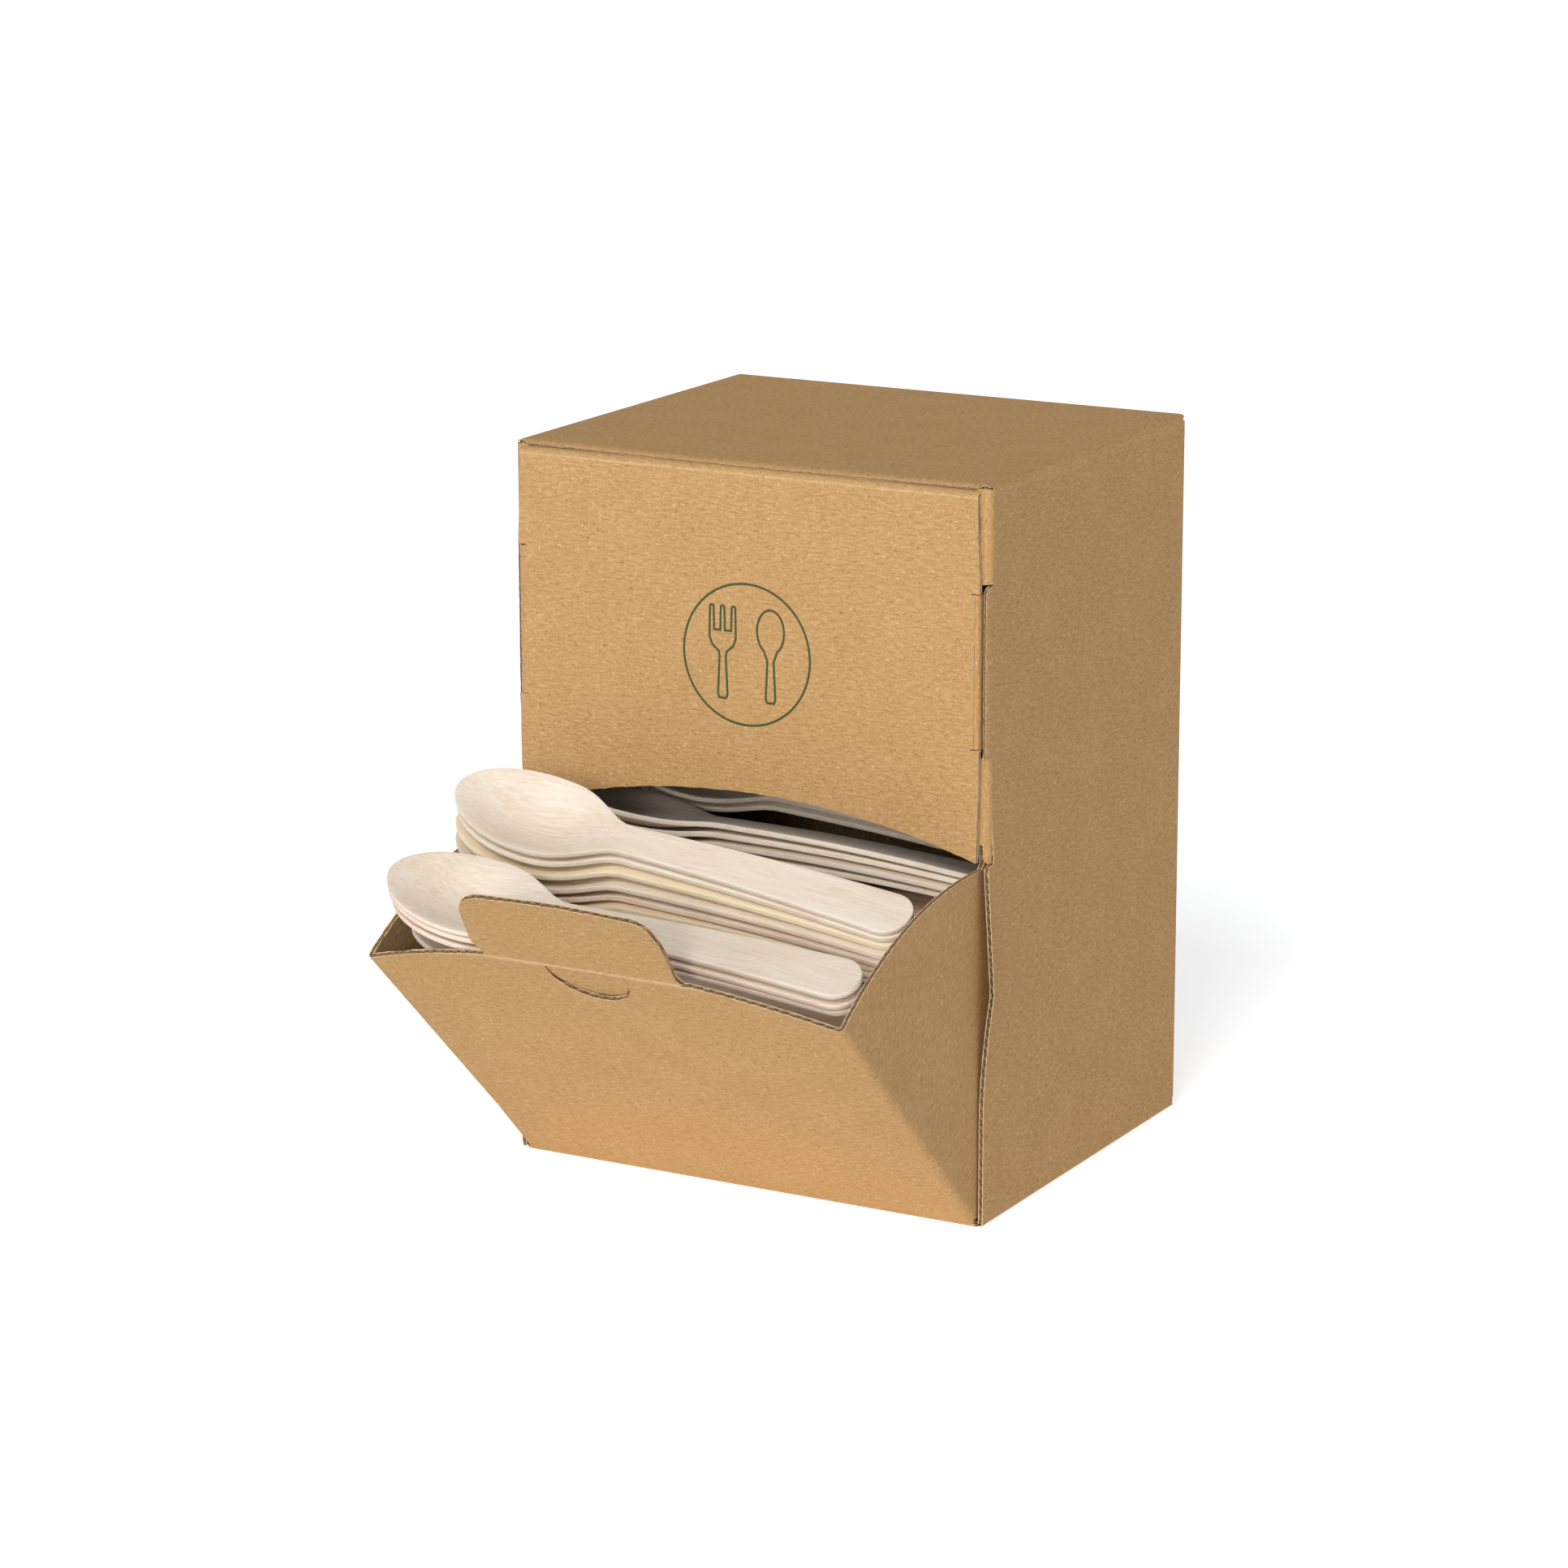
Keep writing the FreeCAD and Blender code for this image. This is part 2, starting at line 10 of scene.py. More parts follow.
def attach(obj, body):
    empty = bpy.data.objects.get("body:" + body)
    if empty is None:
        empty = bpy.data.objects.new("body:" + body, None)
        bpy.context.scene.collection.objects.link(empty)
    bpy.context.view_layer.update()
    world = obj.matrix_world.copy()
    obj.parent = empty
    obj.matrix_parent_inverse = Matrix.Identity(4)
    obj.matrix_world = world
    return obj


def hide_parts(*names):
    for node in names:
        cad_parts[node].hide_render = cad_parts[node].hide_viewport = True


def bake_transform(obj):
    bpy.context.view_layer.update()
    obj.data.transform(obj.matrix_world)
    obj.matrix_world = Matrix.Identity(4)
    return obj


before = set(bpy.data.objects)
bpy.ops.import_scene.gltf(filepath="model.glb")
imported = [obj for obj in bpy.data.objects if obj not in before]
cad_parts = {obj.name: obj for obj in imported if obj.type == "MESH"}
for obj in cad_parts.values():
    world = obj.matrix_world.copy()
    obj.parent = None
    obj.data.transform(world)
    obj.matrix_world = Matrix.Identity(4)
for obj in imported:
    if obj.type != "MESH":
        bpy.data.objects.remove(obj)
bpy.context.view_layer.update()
mm = 0.001  # shapes are worked out in millimetres and stored in metres

carton = {
    "width": 170.0,
    "depth": 146.0,
    "height": 237.0,
    "foldRadius": 2.4,
    "slip": 0.3,  # between panels that lie on each other
    "inset": 4.3,  # from an outer face to where a fold behind it starts
    "mouthLevel": 118.0,  # the side walls are raw-edged below this
    "lockLow": 154.5,  # slits of the lock ears
    "lockHigh": 203.3,
    "lockMargin": 2.6,
    "tuckTop": 235.1,
}
halfWidth = carton["width"] / 2
halfDepth = carton["depth"] / 2
inset = carton["inset"]
radius = carton["foldRadius"]
quarterFold = radius * math.pi / 2
halfFold = quarterFold / 2


# Materials


def addNode(tree, kind, inputs=None, **settings):
    made = tree.nodes.new("ShaderNode" + kind)
    for key, value in settings.items():
        setattr(made, key, value)
    for key, value in (inputs or {}).items():
        if isinstance(value, bpy.types.NodeSocket):
            tree.links.new(value, made.inputs[key])
        else:
            made.inputs[key].default_value = value
    return made


def calc(tree, operation, *values):
    return addNode(tree, "Math", dict(enumerate(values)), operation=operation).outputs[0]


def ramp(tree, value, fromLow, fromHigh, toLow=0.0, toHigh=1.0):
    inputs = {0: value, 1: fromLow, 2: fromHigh, 3: toLow, 4: toHigh}
    return addNode(tree, "MapRange", inputs, clamp=True).outputs[0]


def tint(tree, share, first, second, mode="MIX"):
    made = addNode(tree, "Mix", {0: share, 6: first, 7: second}, data_type="RGBA", blend_type=mode)
    return made.outputs[2]


def noiseAt(tree, vector, scale, detail=2.0, distortion=0.0):
    inputs = {"Vector": vector, "Scale": scale, "Detail": detail, "Distortion": distortion}
    return addNode(tree, "TexNoise", inputs).outputs[0]


def stretched(tree, vector, along, across=1.0):
    return addNode(tree, "Mapping", {"Vector": vector, "Scale": (along, across, across)}).outputs[0]


def ridges(tree, vector, scale, width, distortion=0.0):
    # thin wandering lines along the middle level of a noise
    noise = noiseAt(tree, vector, scale, 1.0, distortion)
    level = calc(tree, "ABSOLUTE", calc(tree, "SUBTRACT", noise, 0.5))
    return ramp(tree, level, 0.0, width, 1.0, 0.0)


def product(tree, first, second):
    return calc(tree, "MULTIPLY", first, second)


def total(tree, first, *others):
    for other in others:
        first = calc(tree, "ADD", first, other)
    return first


def newMaterial(name):
    made = bpy.data.materials.new(name)
    made.use_nodes = True
    return made, made.node_tree, made.node_tree.nodes["Principled BSDF"]


def linear(red, green, blue):
    # a colour as it looks on a screen, 0 to 255
    levels = [c / 255 for c in (red, green, blue)]
    return tuple([c / 12.92 if c < 0.04045 else ((c + 0.055) / 1.055) ** 2.4 for c in levels] + [1.0])


kraftLook = {
    # noises, by scale to the metre
    "cloud": {"scale": 55, "detail": 4.0},
    "pulp": {"scale": 1500, "detail": 3.0, "distortion": 0.3},
    "grit": {"scale": 3600},
    "streak": {"scale": 1500, "detail": 3.0},
    "patches": {"scale": 620, "detail": 1.0},
    "cracks": {"scale": 900, "detail": 3.0},
    "hairs": {"scale": 760, "width": 0.04, "distortion": 0.3},
    "threads": {"scale": 840, "width": 0.045, "distortion": 0.3},
    "specks": 90.0,
    "swing": {"cloud": 0.035, "pulp": 0.12, "grit": 0.16, "streak": 0.14},  # lighter and darker
    "channels": (0.8, 1.05, 1.8),  # share of the swing in red, green and blue
    "hairColour": (112, 82, 48),
    "threadColour": (236, 208, 158),
    "speckColour": (84, 58, 34),
    "wornColour": (222, 196, 156),
}


def kraftMaterial(name, base, fibre=1.0):
    look = kraftLook
    made, tree, shader = newMaterial(name)
    flat = addNode(tree, "Attribute", attribute_name="flat").outputs["Vector"]
    lengthwise = stretched(tree, flat, 0.6)
    noises = {key: noiseAt(tree, flat, **look[key]) for key in ("cloud", "pulp", "grit")}
    noises["streak"] = noiseAt(tree, stretched(tree, flat, 0.2), **look["streak"])
    patches = noiseAt(tree, flat, **look["patches"])
    hairs = product(tree, ridges(tree, lengthwise, **look["hairs"]), ramp(tree, patches, 0.61, 0.64))
    threads = product(tree, ridges(tree, lengthwise, **look["threads"]), ramp(tree, patches, 0.4, 0.37))
    swings = [ramp(tree, noises[key], 0.3, 0.7, -share, share) for key, share in look["swing"].items()]
    value = total(tree, *swings)
    shares = enumerate(look["channels"])
    levels = {i: calc(tree, "MULTIPLY_ADD", value, share * fibre, 1.0) for i, share in shares}
    colour = tint(tree, 1.0, base, addNode(tree, "CombineColor", levels).outputs[0], "MULTIPLY")
    colour = tint(tree, product(tree, hairs, 0.5 * fibre), colour, linear(*look["hairColour"]))
    colour = tint(tree, product(tree, threads, 0.55 * fibre), colour, linear(*look["threadColour"]))
    specks = addNode(tree, "TexVoronoi", {"Vector": flat, "Scale": look["specks"]}, feature="F1")
    chosen = ramp(tree, specks.outputs["Color"], 0.80, 0.81)
    speck = product(tree, ramp(tree, specks.outputs["Distance"], 0.035, 0.06, 1.0, 0.0), chosen)
    colour = tint(tree, product(tree, speck, 0.6), colour, linear(*look["speckColour"]))
    worn = addNode(tree, "Attribute", attribute_name="worn").outputs["Fac"]
    cracks = ramp(tree, noiseAt(tree, flat, **look["cracks"]), 0.35, 0.62, 0.25, 1.0)
    colour = tint(tree, product(tree, worn, cracks), colour, linear(*look["wornColour"]))
    tree.links.new(colour, shader.inputs["Base Color"])
    tree.links.new(ramp(tree, noises["pulp"], 0.3, 0.7, 0.78, 0.92), shader.inputs["Roughness"])
    shader.inputs["Specular IOR Level"].default_value = 0.25
    fibres = product(tree, calc(tree, "ADD", hairs, threads), 0.35)
    height = total(tree, product(tree, noises["pulp"], 0.6), product(tree, noises["grit"], 0.4), fibres)
    bump = addNode(tree, "Bump", {"Height": height, "Strength": 0.5, "Distance": 0.00009})
    tree.links.new(bump.outputs[0], shader.inputs["Normal"])
    return made


kraftOutside = kraftMaterial("kraft_outside", linear(197, 157, 106))
kraftInside = kraftMaterial("kraft_inside", linear(176, 146, 108))
# the cut liner and the fluting are coloured lighter than the board's faces: partly the pale cut fibres,
# partly painted light that lifts the shade inside the flute hollows
linerEdge = kraftMaterial("kraft_cut_edge", linear(232, 206, 168), 0.8)
fluting = kraftMaterial("kraft_fluting", linear(206, 174, 134), 0.8)
boardMaterials = [kraftOutside, kraftInside, linerEdge, fluting]


birchLook = {
    # noises, by scale to the metre
    "sway": {"scale": 14},
    "veins": {"scale": 1300, "detail": 3.0},
    "bands": {"scale": 170, "detail": 3.0, "distortion": 0.5},
    "patches": {"scale": 45, "detail": 3.0},
    "pores": {"scale": 1500, "width": 0.035},
    "poreFields": {"scale": 700, "detail": 1.0},
    "flecks": 26.0,
    "bend": 0.02,  # how far the grain wanders, in metres
    "poreColour": (176, 144, 108),
    "fleckColour": (150, 96, 58),
}


def birchMaterial(name, pale, dark):
    look = birchLook
    made, tree, shader = newMaterial(name)
    grain = addNode(tree, "Attribute", attribute_name="grain").outputs["Vector"]
    mood = addNode(tree, "Attribute", attribute_name="mood").outputs["Fac"]
    sway = noiseAt(tree, stretched(tree, grain, 1.0, 2.0), **look["sway"])
    bent = addNode(tree, "CombineXYZ", {1: product(tree, calc(tree, "SUBTRACT", sway, 0.5), look["bend"])})
    lines = addNode(tree, "VectorMath", {0: grain, 1: bent.outputs[0]}, operation="ADD").outputs[0]
    veins = noiseAt(tree, stretched(tree, lines, 0.04), **look["veins"])
    bands = noiseAt(tree, stretched(tree, lines, 0.07), **look["bands"])
    patches = noiseAt(tree, stretched(tree, grain, 0.5), **look["patches"])
    fields = ramp(tree, noiseAt(tree, stretched(tree, lines, 0.3), **look["poreFields"]), 0.5, 0.62)
    pores = product(tree, ridges(tree, stretched(tree, lines, 0.07), **look["pores"]), fields)
    share = total(tree, ramp(tree, veins, 0.3, 0.7, -0.05, 0.55), ramp(tree, bands, 0.35, 0.65, 0.0, 0.24),
                  ramp(tree, patches, 0.35, 0.65, -0.1, 0.2), ramp(tree, mood, 0.0, 1.0, -0.15, 0.25))
    colour = tint(tree, addNode(tree, "Clamp", {0: share}).outputs[0], pale, dark)
    colour = tint(tree, product(tree, pores, 0.2), colour, linear(*look["poreColour"]))
    flecks = addNode(tree, "TexVoronoi", {"Vector": stretched(tree, grain, 0.35), "Scale": look["flecks"]})
    chosen = ramp(tree, flecks.outputs["Color"], 0.86, 0.87)
    fleck = product(tree, ramp(tree, flecks.outputs["Distance"], 0.0, 0.07, 1.0, 0.0), chosen)
    colour = tint(tree, product(tree, fleck, 0.55), colour, linear(*look["fleckColour"]))
    tree.links.new(colour, shader.inputs["Base Color"])
    tree.links.new(ramp(tree, veins, 0.3, 0.7, 0.52, 0.7), shader.inputs["Roughness"])
    shader.inputs["Specular IOR Level"].default_value = 0.35
    height = calc(tree, "SUBTRACT", product(tree, veins, 0.5), pores)
    bump = addNode(tree, "Bump", {"Height": height, "Strength": 0.35, "Distance": 0.00006})
    tree.links.new(bump.outputs[0], shader.inputs["Normal"])
    return made


birchCream = birchMaterial("birch_cream", linear(252, 243, 230), linear(232, 212, 190))
birchYellow = birchMaterial("birch_yellow", linear(253, 243, 219), linear(237, 215, 178))
birchPink = birchMaterial("birch_pink", linear(249, 234, 220), linear(226, 198, 178))
birchGrey = birchMaterial("birch_grey", linear(243, 232, 217), linear(213, 194, 171))


# Corrugated board

boardStock = {
    "thickness": 1.6,
    "liner": 0.22,
    "medium": 0.13,
    "flute": 3.3,  # pitch of the wave
    "steps": 8,  # faces to a wave
    "linerTile": 4.0,
    "mediumTile": 12.0,
    "air": 0.02,  # between the wave's crests and the liners
    "steep": 0.35,  # a face less level than this is a cut edge
}
halfBoard = boardStock["thickness"] / 2
boardNumbers = itertools.count(1)


def foldOver(s, w, start, bend=radius):
    # board that is flat up to start and then turns inward through a right angle
    turn = np.clip((s - start) / bend, 0, math.pi / 2)
    beyond = np.maximum(s - start - bend * math.pi / 2, 0)
    along = np.minimum(s, start) + (bend - w) * np.sin(turn)
    return along, w + (bend - w) * (1 - np.cos(turn)) + beyond


def foldBothEnds(s, w, low, high, bend=radius):
    upAlong, upDepth = foldOver(s, w, high, bend)
    downAlong, downDepth = foldOver(-s, w, -low, bend)
    nearTop = s > (low + high) / 2
    return np.where(nearTop, upAlong, -downAlong), np.where(nearTop, upDepth, downDepth)


def inOrder(bm):
    # the same order of faces each run, whatever order an operator made them in
    bm.verts.index_update()
    count = len(bm.verts)

    def place(face):
        numbers = [v.index for v in face.verts]
        return min(numbers) * count + max(numbers)

    bm.faces.sort(key=place)


def thicken(bm, faces, height):
    # close a sheet of faces with a copy of itself at the given height
    grown = bmesh.ops.extrude_face_region(bm, geom=faces, use_keep_orig=True)["geom"]
    raised = [g for g in grown if isinstance(g, bmesh.types.BMVert)]
    bmesh.ops.translate(bm, vec=(0, 0, height), verts=raised)


def stockLayer(bm, low, high, acrossAxis, base, thickness, wave):
    span = [high[0] - low[0], high[1] - low[1]]
    tile = boardStock["mediumTile" if wave else "linerTile"]
    counts = [max(1, math.ceil(s / tile)) for s in span]
    if wave:
        counts[acrossAxis] = math.ceil(span[acrossAxis] / boardStock["flute"] * boardStock["steps"])
    verts = bmesh.ops.create_grid(bm, x_segments=counts[0], y_segments=counts[1], size=0.5)["verts"]
    bmesh.ops.scale(bm, vec=(span[0], span[1], 1), verts=verts)
    bmesh.ops.translate(bm, vec=((low[0] + high[0]) / 2, (low[1] + high[1]) / 2, base), verts=verts)
    for v in verts:
        v.co.z += wave * math.sin(2 * math.pi * v.co[acrossAxis] / boardStock["flute"])
    bm.faces.index_update()
    sheet = sorted({f for v in verts for f in v.link_faces}, key=lambda f: f.index)
    thicken(bm, sheet, thickness)
    inOrder(bm)


def rowsAcross(bm, axis, places):
    normal = (1, 0, 0) if axis == 0 else (0, 1, 0)
    for place in places:
        everything = bm.verts[:] + bm.edges[:] + bm.faces[:]
        bmesh.ops.bisect_plane(bm, geom=everything, plane_co=[p * place for p in normal], plane_no=normal)


def prism(outline):
    # a cutter that passes the board on both sides
    low, high = -3.0, 5.0
    bm = bmesh.new()
    face = bm.faces.new([bm.verts.new((a, b, low)) for a, b in outline])
    thicken(bm, [face], high - low)
    inOrder(bm)
    bmesh.ops.recalc_face_normals(bm, faces=bm.faces)
    return meshObject("cutter", bm)


def meshObject(name, bm):
    data = bpy.data.meshes.new(name)
    bm.to_mesh(data)
    bm.free()
    made = bpy.data.objects.new(name, data)
    bpy.context.scene.collection.objects.link(made)
    return made


def trimmed(obj, cutter, operation):
    trim = obj.modifiers.new("trim", "BOOLEAN")
    trim.operation = operation
    trim.solver = "EXACT"
    trim.object = cutter
    result = bpy.data.meshes.new_from_object(obj.evaluated_get(bpy.context.evaluated_depsgraph_get()))
    obj.modifiers.clear()
    spent = obj.data
    obj.data = result
    bpy.data.meshes.remove(spent)
    bpy.data.objects.remove(cutter)


def pointsOf(data):
    points = np.empty(len(data.vertices) * 3)
    data.vertices.foreach_get("co", points)
    return points.reshape(-1, 3)


def movePoints(data, x, y, z):
    data.vertices.foreach_set("co", np.stack([x, y, z], 1).ravel() * mm)


def outward(data):
    # turn the faces round if the closed shells are inside out
    data.calc_loop_triangles()
    corners = np.empty(len(data.loop_triangles) * 3, np.int32)
    data.loop_triangles.foreach_get("vertices", corners)
    a, b, c = pointsOf(data)[corners.reshape(-1, 3)].transpose(1, 0, 2)
    if np.einsum("ij,ij->i", a, np.cross(b, c)).sum() < 0:
        data.flip_normals()


def setAttribute(data, name, kind, values):
    attribute = data.attributes.new(name, kind, "POINT")
    field = "vector" if kind == "FLOAT_VECTOR" else "value"
    attribute.data.foreach_set(field, np.ravel(values).astype(np.float32))


def boardFaces(data):
    # what each face is of (0 outside, 1 inside, 2 cut liner, 3 fluting) and how level it lies
    thick, liner, close = boardStock["thickness"], boardStock["liner"], 0.001
    normals = np.empty(len(data.polygons) * 3)
    centres = np.empty(len(data.polygons) * 3)
    data.polygons.foreach_get("normal", normals)
    data.polygons.foreach_get("center", centres)
    level = np.abs(normals.reshape(-1, 3)[:, 2])
    depth = centres.reshape(-1, 3)[:, 2]
    kinds = np.full(len(depth), 3, np.int32)
    inLiner = (depth < liner + close) | (depth > thick - liner - close)
    kinds[inLiner & (level < boardStock["steep"])] = 2
    kinds[(depth < close) & (level > 0.9)] = 0
    kinds[(depth > thick - close) & (level > 0.9)] = 1
    return kinds, level


def cutBoard(name, node, body, outline, place, flutes="b", rows=(), holes=(), frayed=None, worn=None,
             bend=None):
    # outline and holes are in the flat panel's own a and b; place puts a, b and depth in space
    low = [min(p[i] for p in outline) for i in (0, 1)]
    high = [max(p[i] for p in outline) for i in (0, 1)]
    thick, liner, medium = boardStock["thickness"], boardStock["liner"], boardStock["medium"]
    middle = (thick - medium) / 2
    wave = middle - liner - boardStock["air"]
    acrossAxis = 0 if flutes == "b" else 1
    bm = bmesh.new()
    stockLayer(bm, low, high, acrossAxis, 0, liner, 0)
    stockLayer(bm, low, high, acrossAxis, middle, medium, wave)
    stockLayer(bm, low, high, acrossAxis, thick - liner, liner, 0)
    for axis, places in rows:
        rowsAcross(bm, axis, places)
    bmesh.ops.recalc_face_normals(bm, faces=bm.faces)
    made = meshObject(name, bm)
    if len(outline) > 4 or holes:  # a plain rectangle is its own outline
        trimmed(made, prism(outline), "INTERSECT")
    for hole in holes:
        trimmed(made, prism(hole), "DIFFERENCE")
    data = made.data
    kinds, level = boardFaces(data)
    data.materials.clear()
    for material in boardMaterials:
        data.materials.append(material)
    data.polygons.foreach_set("material_index", kinds)

    a, b, w = pointsOf(data).T.copy()
    number = next(boardNumbers)
    offset = number * 0.37
    setAttribute(data, "flat", "FLOAT_VECTOR", np.stack([a * mm + offset, b * mm + offset / 3, w * mm], 1))
    setAttribute(data, "worn", "FLOAT", worn(a, b, w) if worn else np.zeros(len(a)))
    if frayed:
        cut = np.zeros(len(a), bool)
        for polygon in data.polygons:
            if level[polygon.index] < boardStock["steep"]:
                cut[list(polygon.vertices)] = True
        cut &= frayed(a, b)
        phase = np.floor(w / (thick / 3)) * 1.7 + number
        shake = 0.09 * np.sin(a * 1.9 + b * 2.3 + phase) + 0.07 * np.sin(a * 0.7 - b * 0.9 + 2 * phase)
        a = np.where(cut, a + shake, a)
        b = np.where(cut, b - shake, b)
    movePoints(data, *place(a, b, w))
    outward(data)
    data.shade_smooth()
    data.set_sharp_from_angle(angle=math.radians(38))
    data.update()
    if bend:
        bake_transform(made)
    else:
        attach(made, body)
    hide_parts(node)


def steps(low, high, count):
    return [low + (high - low) * i / count for i in range(count + 1)]


def rectangle(low, high):
    return [low, (high[0], low[1]), high, (low[0], high[1])]


def arcThrough(start, middle, end, count):
    # points on the circle through three points, from start to end
    (ax, ay), (bx, by), (cx, cy) = start, middle, end
    d = 2 * (ax * (by - cy) + bx * (cy - ay) + cx * (ay - by))
    sa, sb, sc = ax * ax + ay * ay, bx * bx + by * by, cx * cx + cy * cy
    ox = (sa * (by - cy) + sb * (cy - ay) + sc * (ay - by)) / d
    oy = (sa * (cx - bx) + sb * (ax - cx) + sc * (bx - ax)) / d
    size = math.hypot(ax - ox, ay - oy)
    first = math.atan2(ay - oy, ax - ox)
    sweep = (math.atan2(cy - oy, cx - ox) - first) % (2 * math.pi)
    if (math.atan2(by - oy, bx - ox) - first) % (2 * math.pi) > sweep:
        sweep -= 2 * math.pi
    turns = [first + sweep * i / count for i in range(count + 1)]
    return [(ox + size * math.cos(t), oy + size * math.sin(t)) for t in turns]


def rounded(points, corners, count=5):
    # the same outline with the named corners rounded: {index: radius}
    made = []
    for i, point in enumerate(points):
        if i not in corners:
            made.append(point)
            continue
        p, q, r = Vector(points[i - 1]), Vector(point), Vector(points[(i + 1) % len(points)])
        u, v = (p - q).normalized(), (r - q).normalized()
        half = u.angle(v) / 2
        reach = corners[i] / math.tan(half)
        centre = q + (u + v).normalized() * (corners[i] / math.sin(half))
        middle = centre + (q - centre).normalized() * corners[i]
        made.extend(arcThrough(tuple(q + u * reach), tuple(middle), tuple(q + v * reach), count))
    return made


# Side walls: a runs front to back, b up

wall = {
    "bow": 3.5,
    "bowLevel": 77.0,
    "bowLow": 38.0,
    "bowHigh": 130.0,
    "bowReach": 20.0,
    "bowRows": (4, 8, 13, 19, 27),
    "crush": 0.5,  # share of the thickness lost at a lock edge
    "crushReach": 1.1,
}
wallLow = radius - halfFold
wallHigh = carton["height"] - radius + halfFold
sideFolds = steps(wallLow, radius, 4) + steps(carton["height"] - radius, wallHigh, 4)


def bowAt(y, z, share):
    # the raw front edge of a side wall stands out, most at one level
    up = np.clip((wall["bowHigh"] - z) / (wall["bowHigh"] - wall["bowLevel"]), 0, 1)
    down = np.clip((z - wall["bowLow"]) / (wall["bowLevel"] - wall["bowLow"]), 0, 1)
    profile = np.minimum(up ** 0.9, down ** 1.6)
    return share * wall["bow"] * profile * np.exp(-(y + halfDepth) / wall["bowReach"])


def sideWall(name, node, side, bowShare, lockFront):
    front, mouth = -halfDepth, carton["mouthLevel"]
    foldFront, foldBack = -halfDepth + inset, halfDepth - inset
    lockLow = carton["lockLow"] - carton["lockMargin"]
    lockHigh = carton["lockHigh"] + carton["lockMargin"]
    outline = [(front, wallLow), (foldBack, wallLow), (foldBack, wallHigh), (foldFront, wallHigh),
               (foldFront, lockHigh), (lockFront, lockHigh - 1.5), (lockFront, lockLow), (foldFront, lockLow),
               (foldFront, mouth), (front, mouth - 0.6)]
    outline = rounded(outline, {5: 2.5, 6: 1.2, 9: 1.6})
    rows = [lockFront + 0.9, lockFront + 2.0] + [front + d for d in wall["bowRows"]]

    def place(a, b, w):
        inLock = (b > lockLow - 2) * (b < lockHigh + 2)
        crush = wall["crush"] * np.exp(-(a - lockFront) / wall["crushReach"]) * inLock
        z, depth = foldBothEnds(b, w + (halfBoard - w) * crush, radius, carton["height"] - radius)
        return side * (halfWidth - depth + bowAt(a, z, bowShare)), a, z

    def worn(a, b, w):
        near = np.exp(-((b - wallHigh + halfFold) / 1.2) ** 2)
        return 0.15 * near * (w < 0.1)

    cutBoard(name, node, "carton", outline, place, "a", rows=[(1, sideFolds), (0, rows)],
             frayed=lambda a, b: (a < -70) & (b > 4) & (b < 230), worn=worn)


sideWall("right_wall", "right_side_panel", 1, 1.0, -halfDepth)
sideWall("left_wall", "left_side_panel", -1, 0.5, -halfDepth + 2.4)
print("side walls")

# Top, bottom and back, with the flaps at the rear

top = {"sag": 0.5, "sagReach": 14.0, "crush": 0.68, "crushReach": 1.3, "crushHalf": 81.0}
rearInset = 2.2
rearHalf = halfWidth - rearInset
sideHalf = halfWidth - radius + halfFold
topFront = -halfDepth + 2.6
topBack = halfDepth - radius
topEnd = topBack + quarterFold


def topPlace(a, b, w):
    x, depth = foldBothEnds(b, w, -halfWidth + radius, halfWidth - radius)
    y, depth = foldOver(a, depth, topBack)
    belly = np.sin(np.pi * (b + halfWidth) / (2 * halfWidth)) ** 2
    sag = top["sag"] * np.exp(-(a - topFront) / top["sagReach"]) * belly
    crush = top["crush"] * np.exp(-(a - topFront) / top["crushReach"]) * (np.abs(b) < top["crushHalf"])
    return x, y, carton["height"] - depth - sag - crush * (boardStock["thickness"] - w)


topOutline = [(topFront, -sideHalf), (topFront, sideHalf), (topBack, sideHalf), (topBack, rearHalf),
              (topEnd, rearHalf), (topEnd, -rearHalf), (topBack, -rearHalf), (topBack, -sideHalf)]
topRows = steps(topBack, topEnd, 6) + steps(topFront + 0.5, topFront + 3.5, 5)
crossFolds = steps(-sideHalf, -halfWidth + radius, 4) + steps(halfWidth - radius, sideHalf, 4)
cutBoard("top_board", "top_panel", "carton", topOutline, topPlace, "a",
         rows=[(1, crossFolds), (0, topRows)],
         frayed=lambda a, b: (a < topFront + 1) & (abs(b) < 82))

bottomReach = halfDepth - 1.9
bottomOutline = rectangle((-bottomReach, -sideHalf), (bottomReach, sideHalf))


def bottomPlace(a, b, w):
    x, depth = foldBothEnds(b, w, -halfWidth + radius, halfWidth - radius)
    return x, a, depth


cutBoard("bottom_board", "bottom_panel", "carton", bottomOutline, bottomPlace, "a", rows=[(1, crossFolds)])

backOutline = rectangle((-rearHalf, inset), (rearHalf, carton["height"] - radius))
cutBoard("back_board", "back_panel", "carton", backOutline,
         lambda a, b, w: (a, halfDepth - w, b), "b", frayed=lambda a, b: abs(a) > 82)

rearTuck = {"reach": 28.0, "corner": 9.0}
rearTuckEnd = quarterFold + rearTuck["reach"] - radius
foldRows = [(1, steps(0, quarterFold, 6))]


def rearTuckPlace(a, b, w):
    along, depth = foldOver(b, w, 0.0)
    return a, halfDepth - depth, inset - along


rearTuckOutline = rounded(rectangle((-rearHalf, 0.0), (rearHalf, rearTuckEnd)),
                          {2: rearTuck["corner"], 3: rearTuck["corner"]})
cutBoard("rear_tuck", "rear_tuck_flap", "carton", rearTuckOutline, rearTuckPlace, "b", rows=foldRows,
         frayed=lambda a, b: b > 6)

flapReach = 44.0
flapEnd = quarterFold + flapReach - radius


